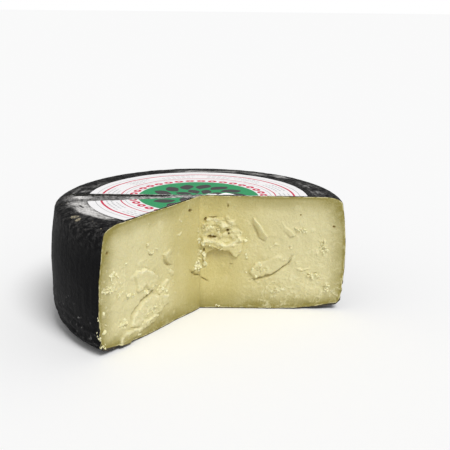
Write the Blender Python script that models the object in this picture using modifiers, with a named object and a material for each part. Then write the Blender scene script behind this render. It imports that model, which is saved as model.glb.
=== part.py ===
"""A wheel of black-rinded sheep's milk cheese, cut open: half of the wheel and one slice still in its place.

Units are metres, +Z is up. The cut across the wheel runs along X, and the missing sector opens towards -Y.
The origin is at the middle of the underside of the part. Each cut face has the crags of broken paste.
"""
import math

import bmesh
import bpy
from mathutils import Vector, noise

MM = 0.001

# The wheel
RADIUS = 0.100
HEIGHT = 0.0815
WIDEST_SHARE = 0.468
SIDE_BULGE = 0.00415
TOP_SHOULDER_IN = 0.012
TOP_SHOULDER_DOWN = 0.0048
BOTTOM_CORNER_IN = 0.0020
BOTTOM_CORNER_UP = 0.0055
FLAT_RADIUS = 0.050
UNDERSIDE_RISE = 0.0038
UNDERSIDE_STEPS = 5
ROUND_STEPS = 96
SHOULDER_STEPS = 6
SIDE_STEPS = 12

# Uneven rind: slow dents all over, and the marks of the basket low on the side
DENT = 0.0006
DENT_LENGTH = 0.035
BASKET_RIDGE = 0.0004
BASKET_PITCH = 0.0065
BASKET_REACH = 0.030

# The slice: from the cut across the wheel round to its own cut face, which leans a little
SLICE_ANGLE_BOTTOM = math.radians(235.0)
SLICE_ANGLE_TOP = math.radians(237.1)
SEAM = 0.0004

# The wheel's axis, placed so that the part is centred on its origin
FACE_MIDDLE_ANGLE = SLICE_ANGLE_BOTTOM + WIDEST_SHARE * (SLICE_ANGLE_TOP - SLICE_ANGLE_BOTTOM)
AXIS_Y = -RADIUS * (1.0 + math.sin(FACE_MIDDLE_ANGLE)) / 2.0

# The paper label on the top, and the strip beside the seam where paper and skin came off
LABEL_RADIUS = 0.0741
LABEL_MIDDLE_X = -0.0012
LABEL_MIDDLE_Y = -0.0022
LABEL_THICKNESS = 0.00035
LABEL_GAP = 0.0003
LABEL_STEPS = 80
LABEL_INSET = 0.0006
STRIP_DEPTH = 0.0012
STRIP_ANGLE = math.radians(11.4)
STRIP_MEETS_SEAM_X = 0.023
STRIP_END_X = -0.019

# Grid of a cut face
FACE_PITCH = 0.0031
FACE_MARGIN = 0.006
CUTTER_DEPTH = 0.130


def smooth(low, high, value):
    """Rises from 0 at low to 1 at high."""
    share = min(max((value - low) / (high - low), 0.0), 1.0)
    return share * share * (3.0 - 2.0 * share)


def patch(u, z, centre, size, turn=0.0, edge=0.25):
    """Is 1 inside an oval on a cut face and 0 outside it, with an edge that is a share of its size wide."""
    cosine, sine = math.cos(turn), math.sin(turn)
    across, up = u - centre[0], z - centre[1]
    along = (across * cosine + up * sine) / size[0]
    over = (up * cosine - across * sine) / size[1]
    return 1.0 - smooth(1.0 - edge, 1.0 + edge, math.hypot(along, over))


def above_line(u, z, start, end):
    """How far a point of a cut face lies above the line from start to end, measured square to that line."""
    run, rise = end[0] - start[0], end[1] - start[1]
    return ((z - start[1]) * run - (u - start[0]) * rise) / math.hypot(run, rise)


def lumps(u, z, size, layer):
    """Uneven rounded grains of one size, from 0 to 1."""
    near = noise.voronoi(Vector((u / size, z / size, layer)))[0][0]
    return max(0.0, 1.0 - near * 1.3)


def paste_waves(u, z, layer):
    """The slow unevenness that a knife leaves in firm paste, in millimetres."""
    slow = noise.noise(Vector((u / 26.0, z / 26.0, layer)))
    quick = noise.noise(Vector((u / 9.0, z / 9.0, layer + 5.0)))
    return 0.55 * slow + 0.25 * quick


def slice_relief(u, z):
    """Height of the slice's cut face over its plane, both in millimetres: u out from the axis and z up."""
    height = paste_waves(u, z, 1.0)
    scoop = patch(u, z, (51.0, 18.0), (17.0, 14.0), math.radians(-18.0), 0.2)
    height -= 1.5 * scoop * smooth(0.6, -0.3, above_line(u, z, (50.0, 29.0), (72.0, 17.0)))
    height += 0.9 * patch(u, z, (60.5, 37.0), (13.5, 8.5), math.radians(-8.0), 0.16)
    height += 1.0 * patch(u, z, (36.0, 47.5), (6.5, 4.5), math.radians(35.0), 0.3)
    crumbs = patch(u, z, (89.0, 43.0), (9.0, 6.5), edge=0.5) + patch(u, z, (80.0, 13.5), (4.5, 5.0), edge=0.5)
    height += 1.4 * crumbs * lumps(u, z, 4.2, 3.0)
    height -= 2.2 * patch(u, z, (8.0, 26.5), (4.0, 2.6), math.radians(-25.0), 0.4)
    height += 0.9 * patch(u, z, (5.0, 34.0), (5.0, 5.0), 0.0, 0.5) * lumps(u, z, 3.6, 8.0)
    height -= 1.3 * smooth(4.0, 0.0, u) * lumps(u, z, 5.0, 6.0)
    return height


def half_relief(u, z):
    """Height of the half's cut face over its plane, both in millimetres: u out from the axis and z up."""
    height = paste_waves(u, z, 11.0)
    broken = patch(u, z, (13.5, 54.0), (13.5, 13.0), 0.0, 0.15)
    arch = patch(u, z, (14.5, 22.0), (11.5, 20.5), 0.0, 0.12)
    height += broken * (0.4 + 1.3 * lumps(u, z, 6.0, 13.0))
    height -= 2.2 * arch * (1.0 - broken)
    height -= 4.0 * patch(u, z, (8.0, 51.8), (3.8, 2.2), 0.0, 0.4)
    height -= 3.0 * patch(u, z, (18.6, 55.8), (2.3, 3.0), 0.0, 0.4)
    height -= 2.5 * patch(u, z, (3.4, 64.8), (2.2, 2.8), 0.0, 0.4)
    height += 1.1 * patch(u, z, (47.0, 30.0), (12.0, 7.0), math.radians(25.0), 0.18)
    height -= 1.3 * patch(u, z, (62.0, 52.0), (9.0, 6.0), math.radians(-30.0), 0.2)
    height += 1.4 * patch(u, z, (78.0, 24.0), (8.0, 7.0), 0.0, 0.5) * lumps(u, z, 4.2, 17.0)
    return height * smooth(0.0, 3.0, u)


def side_radius(z):
    """The wheel's radius at a height: a bulged side with an oval shoulder above and an oval corner below."""
    from_widest = (z - WIDEST_SHARE * HEIGHT) / (HEIGHT / 2.0)
    above = max(0.0, 1.0 - (HEIGHT - z) / TOP_SHOULDER_DOWN)
    below = max(0.0, 1.0 - (z - UNDERSIDE_RISE) / BOTTOM_CORNER_UP)
    shoulder = TOP_SHOULDER_IN * (1.0 - math.sqrt(1.0 - above ** 2))
    corner = BOTTOM_CORNER_IN * (1.0 - math.sqrt(1.0 - below ** 2))
    return RADIUS - SIDE_BULGE * from_widest ** 2 - shoulder - corner


def profile_heights():
    """The heights of the profile's points, from the top down, closer together where the profile turns."""
    quarter = math.pi / 2.0
    top = [HEIGHT - TOP_SHOULDER_DOWN * (1.0 - math.cos(quarter * step / SHOULDER_STEPS))
           for step in range(SHOULDER_STEPS + 1)]
    bottom = [UNDERSIDE_RISE + BOTTOM_CORNER_UP * (1.0 - math.cos(quarter * step / SHOULDER_STEPS))
              for step in range(SHOULDER_STEPS, -1, -1)]
    drop = (top[-1] - bottom[0]) / SIDE_STEPS
    side = [top[-1] - drop * step for step in range(1, SIDE_STEPS)]
    return top + side + bottom


def underside():
    """The profile's points under the wheel, which is flat in its middle and rises a little further out."""
    reach = side_radius(UNDERSIDE_RISE) - FLAT_RADIUS
    shares = [1.0 - step / UNDERSIDE_STEPS for step in range(1, UNDERSIDE_STEPS + 1)]
    return [(FLAT_RADIUS + reach * share, UNDERSIDE_RISE * share ** 2) for share in shares] + [(0.0, 0.0)]


def rind_offset(angle, z):
    """How far the rind stands out from the smooth wheel at an angle and a height."""
    place = Vector((RADIUS * math.cos(angle), RADIUS * math.sin(angle), z)) / DENT_LENGTH
    dents = DENT * noise.noise(place)
    wander = 1.5 * noise.noise(place * 2.0)
    low = smooth(BASKET_REACH, 0.4 * BASKET_REACH, z)
    return dents + BASKET_RIDGE * low * math.sin(2.0 * math.pi * z / BASKET_PITCH + wander)


def link(obj, collection):
    collection.objects.link(obj)
    return obj


def turned_wheel(collection):
    """The whole wheel: its profile turned round the axis, then made uneven."""
    profile = [(0.0, HEIGHT)] + [(side_radius(z), z) for z in profile_heights()] + underside()
    mesh = bpy.data.meshes.new("wheel_profile")
    mesh.from_pydata([(x, 0.0, z) for x, z in profile], [(n, n + 1) for n in range(len(profile) - 1)], [])
    outline = link(bpy.data.objects.new("wheel_profile", mesh), collection)
    turn = outline.modifiers.new("turn", 'SCREW')
    turn.axis = 'Z'
    turn.steps = turn.render_steps = ROUND_STEPS
    turn.use_merge_vertices = True
    turn.merge_threshold = 0.00005
    depsgraph = bpy.context.evaluated_depsgraph_get()
    wheel = bpy.data.meshes.new_from_object(outline.evaluated_get(depsgraph))
    bpy.data.objects.remove(outline)

    shape = bmesh.new()
    shape.from_mesh(wheel)
    bmesh.ops.remove_doubles(shape, verts=shape.verts, dist=0.00005)
    for vert in shape.verts:
        across = math.hypot(vert.co.x, vert.co.y)
        z = vert.co.z
        if 0.0 < z < HEIGHT:
            angle = math.atan2(vert.co.y, vert.co.x)
            fade = smooth(0.0, 0.004, z) * smooth(HEIGHT, HEIGHT - 0.004, z)
            grow = 1.0 + fade * rind_offset(angle, z) / across
            vert.co.x *= grow
            vert.co.y *= grow
        vert.co.y += AXIS_Y
    bmesh.ops.recalc_face_normals(shape, faces=shape.faces)
    shape.to_mesh(wheel)
    shape.free()
    return wheel


def face_columns():
    """Places along a cut face: two wide columns behind the axis, then the pitch of the relief."""
    count = math.ceil((RADIUS + FACE_MARGIN) / FACE_PITCH)
    return [-RADIUS - FACE_MARGIN, -RADIUS / 2.0] + [FACE_PITCH * step for step in range(count + 1)]


def relief_cutter(name, direction, relief, offset, collection):
    """A thick block whose front is a cut face: direction gives its line at a height, relief its crags."""
    columns = face_columns()
    rows = math.ceil((HEIGHT + 2.0 * FACE_MARGIN) / FACE_PITCH)
    shape = bmesh.new()
    bmesh.ops.create_grid(shape, x_segments=len(columns) - 1, y_segments=rows, size=1.0)
    for vert in shape.verts:
        column = columns[round((vert.co.x + 1.0) / 2.0 * (len(columns) - 1))]
        z = (vert.co.y + 1.0) / 2.0 * (HEIGHT + 2.0 * FACE_MARGIN) - FACE_MARGIN
        along, normal = direction(z)
        height = offset
        if column >= 0.0:
            height += MM * relief(column / MM, z / MM)
        vert.co = Vector((0.0, AXIS_Y, z)) + along * column + normal * height
    moved = bmesh.ops.extrude_face_region(shape, geom=shape.faces[:])["geom"]
    middle_normal = direction(HEIGHT / 2.0)[1]
    for item in moved:
        if isinstance(item, bmesh.types.BMVert):
            item.co += middle_normal * CUTTER_DEPTH
    bmesh.ops.recalc_face_normals(shape, faces=shape.faces)
    mesh = bpy.data.meshes.new(name)
    shape.to_mesh(mesh)
    shape.free()
    return link(bpy.data.objects.new(name, mesh), collection)


def box_cutter(name, low, high, collection, turn=0.0, pivot=(0.0, 0.0)):
    """A box between two corners, turned about a vertical line through its pivot."""
    shape = bmesh.new()
    bmesh.ops.create_cube(shape, size=1.0)
    for vert in shape.verts:
        corner = [low[n] if vert.co[n] < 0.0 else high[n] for n in range(3)]
        across, forward = corner[0] - pivot[0], corner[1] - pivot[1]
        vert.co = Vector((pivot[0] + across * math.cos(turn) - forward * math.sin(turn),
                          pivot[1] + across * math.sin(turn) + forward * math.cos(turn), corner[2]))
    mesh = bpy.data.meshes.new(name)
    shape.to_mesh(mesh)
    shape.free()
    return link(bpy.data.objects.new(name, mesh), collection)


def hide_cutter(cutter):
    cutter.hide_render = True
    cutter.display_type = 'WIRE'


def cut(obj, cutter):
    hide_cutter(cutter)
    boolean = obj.modifiers.new("cut by " + cutter.name, 'BOOLEAN')
    boolean.operation = 'DIFFERENCE'
    boolean.object = cutter


def finish(name, colour, roughness):
    material = bpy.data.materials.new(name)
    material.use_nodes = True
    shader = material.node_tree.nodes["Principled BSDF"]
    shader.inputs["Base Color"].default_value = (*colour, 1.0)
    shader.inputs["Roughness"].default_value = roughness
    shader.inputs["Metallic"].default_value = 0.0
    return material


def slice_face(z):
    """The line of the slice's cut face at a height, and its normal towards the missing sector."""
    angle = SLICE_ANGLE_BOTTOM + (SLICE_ANGLE_TOP - SLICE_ANGLE_BOTTOM) * z / HEIGHT
    along = Vector((math.cos(angle), math.sin(angle), 0.0))
    return along, Vector((-along.y, along.x, 0.0))


def half_face(z):
    """The line of the half's cut face, and its normal towards the missing sector."""
    return Vector((1.0, 0.0, 0.0)), Vector((0.0, -1.0, 0.0))


def cheese_half(wheel, parts, cutters):
    """The half of the wheel behind the cut across it."""
    half = link(bpy.data.objects.new("cheese_half", wheel.copy()), parts)
    half.data.materials.append(finish("paste of the half", (0.66, 0.56, 0.27), 0.55))
    cut(half, relief_cutter("half_face_cutter", half_face, half_relief, -SEAM / 2.0, cutters))


def cheese_slice(wheel, parts, cutters):
    """The slice in front of the half's left side, with the sunk strip along the seam on its top."""
    piece = link(bpy.data.objects.new("cheese_slice", wheel.copy()), parts)
    piece.data.materials.append(finish("paste of the slice", (0.68, 0.60, 0.33), 0.55))
    reach = RADIUS + FACE_MARGIN
    seam = box_cutter("slice_seam_cutter", (-reach, AXIS_Y - SEAM / 2.0, -FACE_MARGIN),
                      (reach, AXIS_Y + reach, HEIGHT + FACE_MARGIN), cutters)
    cut(piece, seam)
    cut(piece, relief_cutter("slice_face_cutter", slice_face, slice_relief, 0.0, cutters))
    strip = box_cutter("strip_cutter", (STRIP_MEETS_SEAM_X - 2.0 * reach, AXIS_Y, HEIGHT - STRIP_DEPTH),
                       (STRIP_MEETS_SEAM_X, AXIS_Y + reach, HEIGHT + FACE_MARGIN), cutters,
                       STRIP_ANGLE, (STRIP_MEETS_SEAM_X, AXIS_Y))
    end = box_cutter("strip_end_cutter", (STRIP_END_X, AXIS_Y - reach, 0.0),
                     (reach, AXIS_Y + 2.0 * reach, 2.0 * HEIGHT), cutters)
    cut(strip, end)
    cut(piece, strip)


def label_disc(name, parts):
    """The round paper label before it is cut with the cheese."""
    shape = bmesh.new()
    bmesh.ops.create_cone(shape, cap_ends=True, cap_tris=False, segments=LABEL_STEPS,
                          radius1=LABEL_RADIUS, radius2=LABEL_RADIUS, depth=LABEL_THICKNESS)
    level = HEIGHT + LABEL_GAP + LABEL_THICKNESS / 2.0
    bmesh.ops.translate(shape, verts=shape.verts, vec=(LABEL_MIDDLE_X, AXIS_Y + LABEL_MIDDLE_Y, level))
    mesh = bpy.data.meshes.new(name)
    shape.to_mesh(mesh)
    shape.free()
    paper = link(bpy.data.objects.new(name, mesh), parts)
    paper.data.materials.append(finish(name + " paper", (0.88, 0.86, 0.84), 0.6))
    return paper


def labels(parts, cutters):
    """The two pieces of the label, each cut back a little from the edge of its cheese."""
    reach = RADIUS + FACE_MARGIN
    low, high = HEIGHT - FACE_MARGIN, HEIGHT + FACE_MARGIN
    half = label_disc("label_half", parts)
    cut(half, box_cutter("label_half_cutter", (-reach, AXIS_Y - reach, low),
                         (reach, AXIS_Y + LABEL_INSET, high), cutters))
    piece = label_disc("label_slice", parts)
    cut(piece, box_cutter("label_strip_cutter", (STRIP_MEETS_SEAM_X - 2.0 * reach, AXIS_Y - LABEL_INSET, low),
                          (STRIP_MEETS_SEAM_X + reach, AXIS_Y + 2.0 * reach, high), cutters,
                          STRIP_ANGLE, (STRIP_MEETS_SEAM_X, AXIS_Y)))
    cut(piece, box_cutter("label_face_cutter", (-reach, AXIS_Y - LABEL_INSET, low),
                          (reach, AXIS_Y + reach, high), cutters, SLICE_ANGLE_TOP, (0.0, AXIS_Y)))


def main():
    for obj in list(bpy.data.objects):
        bpy.data.objects.remove(obj)
    parts = bpy.data.collections.new("pecorino")
    cutters = bpy.data.collections.new("cutters")
    for collection in (parts, cutters):
        bpy.context.scene.collection.children.link(collection)
    wheel = turned_wheel(parts)
    cheese_half(wheel, parts, cutters)
    cheese_slice(wheel, parts, cutters)
    labels(parts, cutters)


main()
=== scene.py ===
"""The looks of a black-rinded pecorino wheel, cut open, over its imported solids.

The wheel's half and its slice get a fine rind and broken, crumbly cut faces. The label's two pieces are thin
printed paper. Sizes are in metres, and the reliefs of the surfaces are worked out in millimetres.
"""

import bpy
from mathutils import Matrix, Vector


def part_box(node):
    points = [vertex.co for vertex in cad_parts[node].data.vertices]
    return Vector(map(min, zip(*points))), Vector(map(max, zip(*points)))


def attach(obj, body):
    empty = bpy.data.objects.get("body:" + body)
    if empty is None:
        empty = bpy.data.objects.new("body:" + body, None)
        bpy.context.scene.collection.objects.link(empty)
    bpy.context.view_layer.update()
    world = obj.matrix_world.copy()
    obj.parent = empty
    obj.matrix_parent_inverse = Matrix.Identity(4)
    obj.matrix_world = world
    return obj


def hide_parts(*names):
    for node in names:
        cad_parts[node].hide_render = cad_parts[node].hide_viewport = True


bl_info = {
    "name": "Cut pecorino wheel",
    "version": (1, 0, 0),
    "blender": (4, 5, 0),
    "location": "3D View > Sidebar > Pecorino",
    "description": "Models the rind, the broken paste, the paper label and the crumbs of a cut cheese wheel",
    "category": "Object",
}

import math

import bpy
import numpy as np
from bpy.props import FloatProperty, FloatVectorProperty, PointerProperty
from mathutils import Euler, Matrix, Vector, noise

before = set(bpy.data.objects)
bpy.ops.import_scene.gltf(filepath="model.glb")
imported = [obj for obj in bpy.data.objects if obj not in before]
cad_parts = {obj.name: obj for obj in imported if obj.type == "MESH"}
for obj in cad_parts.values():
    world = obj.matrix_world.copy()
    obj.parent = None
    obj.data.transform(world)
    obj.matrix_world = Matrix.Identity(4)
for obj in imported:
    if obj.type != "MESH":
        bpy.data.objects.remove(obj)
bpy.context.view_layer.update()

MM = 0.001
BODY = "root"

# The wheel's form, the same as its solids have
RADIUS = 0.100
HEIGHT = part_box("cheese_half")[1].z
WIDEST_SHARE = 0.468
SIDE_BULGE = 0.00415
TOP_SHOULDER_IN = 0.012
TOP_SHOULDER_DOWN = 0.0048
BOTTOM_CORNER_IN = 0.0020
BOTTOM_CORNER_UP = 0.0055
FLAT_RADIUS = 0.050
UNDERSIDE_RISE = 0.0038
DENT = 0.0006
DENT_LENGTH = 0.035
BASKET_RIDGE = 0.0004
BASKET_PITCH = 0.0065
BASKET_REACH = 0.030
SLICE_ANGLE_BOTTOM = math.radians(235.0)
SLICE_ANGLE_TOP = math.radians(237.1)
SEAM = 0.0004
FACE_MIDDLE_ANGLE = SLICE_ANGLE_BOTTOM + WIDEST_SHARE * (SLICE_ANGLE_TOP - SLICE_ANGLE_BOTTOM)
AXIS_Y = -RADIUS * (1.0 + math.sin(FACE_MIDDLE_ANGLE)) / 2.0
AXIS = Vector((0.0, AXIS_Y, 0.0))
STRIP_DEPTH = 0.0012
STRIP_ANGLE = math.radians(11.4)
STRIP_MEETS_SEAM_X = 0.023
STRIP_END_X = -0.019
LABEL_MIDDLE = Vector((-0.0012, AXIS_Y - 0.0022, 0.0))

# The wheel's height in millimetres, for the materials
TOP = HEIGHT / MM

# The cut faces: the height that their crags are counted from, and how far the blocks that cut them reach past
# the wheel and behind the face
CRAG_LEVEL = 0.0005
FACE_MARGIN = 0.004
CUTTER_DEPTH = 0.130

# How far the half's face swells beside the slice, to close the corner between them, and how far the outlines
# of flakes stray, both in millimetres
CORNER_SWELL = 0.36
OUTLINE_STRAY = 0.7

# The bare strip beside the seam: how far its edge strays, how wide its slope is, how rough its floor is, over
# what length it fades out, and how far the block that cuts it stands above the top
STRIP_STRAY = 0.0004
STRIP_SLOPE = 0.0012
STRIP_ROUGH = 0.00035
STRIP_FADE = 0.004
STRIP_ABOVE = 0.012

# Fine grain of the rind's side, as (height, length round the wheel, length up, seed) in millimetres
SIDE_GRAIN = ((0.10, 5.0, 5.0, 301), (0.05, 2.1, 2.4, 302), (0.06, 2.2, 26.0, 303))

# How finely the meshes are made
CORNER_POINTS = 15
TOP_POINTS = 16
FINE_TOP_FROM = 0.066
FINE_TOP_POINTS = 18
UNDERSIDE_POINTS = 24
STRIP_COLUMNS = 210
STRIP_ROWS = 40
PAPER_COLUMNS = 190
PAPER_ROWS = 72
PAPER_FINE_ROWS = 41
ROUND_CUT_SIDES = 240
KNIFE_COLUMNS = 480
WELD = 0.00001

# The marks that the paste's material reads: how far apart the points of the rind's outline lie that the
# depths are measured from, and how far from the knife's plane the crags are marked
MARK_PITCH = 0.0015
MARK_DEPTH = 8.0 * MM

# The steepest turn between two faces that still looks smooth, in degrees
SMOOTH_CHEESE = 48.0
SMOOTH_PAPER = 40.0
SMOOTH_CRUMBS = 35.0

# Crumbs: how many kinds there are, and how often each of their sizes comes, in millimetres
CRUMB_KINDS = 6
CRUMB_SIZES = (0.42, 0.62, 0.85, 1.05)
CRUMB_SHARES = (0.35, 0.35, 0.22, 0.08)
CRUMB_SEED = 55

# The label's paper in millimetres: how far a sheet reaches past its round cut, and how far the paper at its
# highest stands over the half's cut before it is rolled back
PAPER_MARGIN = 3.5
OVERHANG = 2.3

# How far round the paper is rolled, in radians, and how high the blocks are that cut it
ROLL_TURN = 2.9
ROUND_CUT_HEIGHT = 0.010
KNIFE_HALF_HEIGHT = 0.006

# The photograph's camera, seen from a little above the wheel's rim
CAMERA_PLACE = Vector((0.0195, -0.4842 + AXIS_Y, 0.2037))
CAMERA_TARGET = Vector((0.01675, 0.00125 + AXIS_Y, 0.0605))
CAMERA_ROLL = math.radians(0.61)
CAMERA_LENS = 59.3
SENSOR = 36.0

# Soft studio light: a bright surround, and a large lamp from the front right, high up
SKY_STRENGTH = 0.46
KEY_STRENGTH = 2.1
KEY_SOFTNESS = math.radians(26.0)
KEY_FROM = Vector((0.30, -0.50, 0.80))
FLOOR_RADIUS = 30.0
FLOOR_LEVEL = -0.0002

# Painted shade: how much darker the slice's paste is by the axis than the half's
SLICE_PAINTED_SHADE = 0.92

# Colours of small details, as linear light
SKIN_DARK = (0.045, 0.036, 0.022)
SEAM_BLACK = (0.020, 0.020, 0.019)
SEAM_GREY = (0.16, 0.16, 0.14)
STUCK_PASTE = (0.56, 0.49, 0.34)
SOILED_PAPER = (0.74, 0.72, 0.70)
GREY_INK = (0.30, 0.31, 0.32)
LIGHT_GREEN_INK = (0.05, 0.40, 0.17)
RUBBED_INK = (0.42, 0.40, 0.40)
PAPER_DUST = (0.30, 0.29, 0.28)


def length(name, description, default, **limits):
    """A length that a user can change."""
    return FloatProperty(name=name, description=description, default=default, unit='LENGTH', **limits)


def amount(name, description, low, high):
    """A share that a user can change, 1 as photographed."""
    return FloatProperty(name=name, description=description, default=1.0, min=low, max=high, subtype='FACTOR')


def shade(name, description, default):
    """A colour that a user can change, as linear light."""
    return FloatVectorProperty(name=name, description=description, default=default, min=0.0, max=1.0,
                               subtype='COLOR')


class PecorinoSizes(bpy.types.PropertyGroup):
    """Sizes of the cheese and its label."""
    rind_pitch: length("Rind detail", "Distance between the rind's points", 0.00095, min=0.0005)
    face_pitch: length("Paste detail", "Distance between the points of a cut face", 0.00045, min=0.0003)
    crag: amount("Crags", "How deep the crags of the cut faces are, 1 as photographed", 0.0, 2.0)
    label_radius: length("Label radius", "From the label's middle to the paper's edge", 0.0734)
    paper: length("Paper thickness", "Thickness of the label", 0.00016)
    curl: length("Curl", "Radius that the torn paper rolls back to along the cut", 0.0006)
    crumbs: amount("Crumbs", "Loose crumbs on the cut faces, 1 as photographed", 0.1, 3.0)


class PecorinoColours(bpy.types.PropertyGroup):
    """Colours of the cheese, its label and the stage, as linear light."""
    paste: shade("Paste", "Firm paste well inside the rind", (0.68, 0.62, 0.34))
    # Painted shade: the paste by the axis is laid darker and yellower.
    paste_shaded_middle: shade("Paste by the axis", "Moister, yellower paste", (0.62, 0.535, 0.22))
    # Also the colour of the painted shade low down on the cut faces.
    paste_edge: shade("Paste by the rind", "Dry, darker paste under the rind", (0.29, 0.245, 0.062))
    # Also the colour of the painted highlights on lit flake edges.
    paste_broken: shade("Broken paste", "Crumbs and the edges of flakes", (0.88, 0.83, 0.52))
    # The colour of the painted shade in holes, cracks, gaps and under overhangs.
    hole_shade: shade("Holes", "Paste deep in holes and cracks", (0.26, 0.17, 0.035))
    rind: shade("Rind", "The black coat of the rind", (0.0036, 0.0036, 0.0042))
    rind_worn: shade("Worn rind", "Thin and rubbed places of the coat", (0.027, 0.026, 0.025))
    powder: shade("Powder", "Pale dust and scuffs on the rind", (0.80, 0.78, 0.76))
    paper: shade("Paper", "White paper of the label", (0.97, 0.955, 0.96))
    red: shade("Red ink", "Rings and beads of the label", (0.66, 0.030, 0.085))
    green: shade("Green ink", "The label's middle", (0.022, 0.31, 0.11))
    charcoal: shade("Dark ink", "The rosette on the green", (0.060, 0.055, 0.056))
    stage: shade("Floor", "The plain floor", (0.95, 0.95, 0.95))


def smooth(low, high, value):
    """Rises from 0 at low to 1 at high, also where low is the larger."""
    share = np.clip((value - low) / (high - low), 0.0, 1.0)
    return share * share * (3.0 - 2.0 * share)


def rotated(x, y, angle):
    """How far places lie along a line turned up by an angle, and how far over it."""
    cosine, sine = math.cos(angle), math.sin(angle)
    return x * cosine + y * sine, y * cosine - x * sine


def off_line(x, y, start, end):
    """The way to places from the nearest point of a straight line, as (across, up), and that point's share of
    the line."""
    run, rise = end[0] - start[0], end[1] - start[1]
    share = np.clip(((x - start[0]) * run + (y - start[1]) * rise) / (run ** 2 + rise ** 2), 0.0, 1.0)
    return x - start[0] - share * run, y - start[1] - share * rise, share


def lattice(x, y, layer):
    """Smooth uneven values from -1 to 1 over a plane, with one hump or hollow in each unit or so."""
    size = 64
    table = np.random.default_rng(layer).uniform(-1.0, 1.0, (size, size))
    column, row = np.floor(x).astype(int), np.floor(y).astype(int)
    across, up = x - column, y - row
    across, up = across * across * (3.0 - 2.0 * across), up * up * (3.0 - 2.0 * up)
    left, right = column % size, (column + 1) % size
    low, high = row % size, (row + 1) % size
    under = table[low, left] * (1.0 - across) + table[low, right] * across
    over = table[high, left] * (1.0 - across) + table[high, right] * across
    return under * (1.0 - up) + over * up


def grains(x, y, layer):
    """Uneven rounded grains, one in each unit square: how high each point stands on its grain, and a random
    number for the grain."""
    size = 64
    draw = np.random.default_rng(layer)
    shift_x, shift_y, kind = (draw.uniform(0.0, 1.0, (size, size)) for _ in range(3))
    column, row = np.floor(x).astype(int), np.floor(y).astype(int)
    nearest = np.full(np.shape(x), 9.0)
    own = np.zeros(np.shape(x))
    for beside in (-1, 0, 1):
        for beyond in (-1, 0, 1):
            cell = ((row + beyond) % size, (column + beside) % size)
            apart = np.hypot(column + beside + shift_x[cell] - x, row + beyond + shift_y[cell] - y)
            closer = apart < nearest
            nearest = np.where(closer, apart, nearest)
            own = np.where(closer, kind[cell], own)
    return np.clip(1.0 - nearest * 1.25, 0.0, 1.0), own


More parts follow.
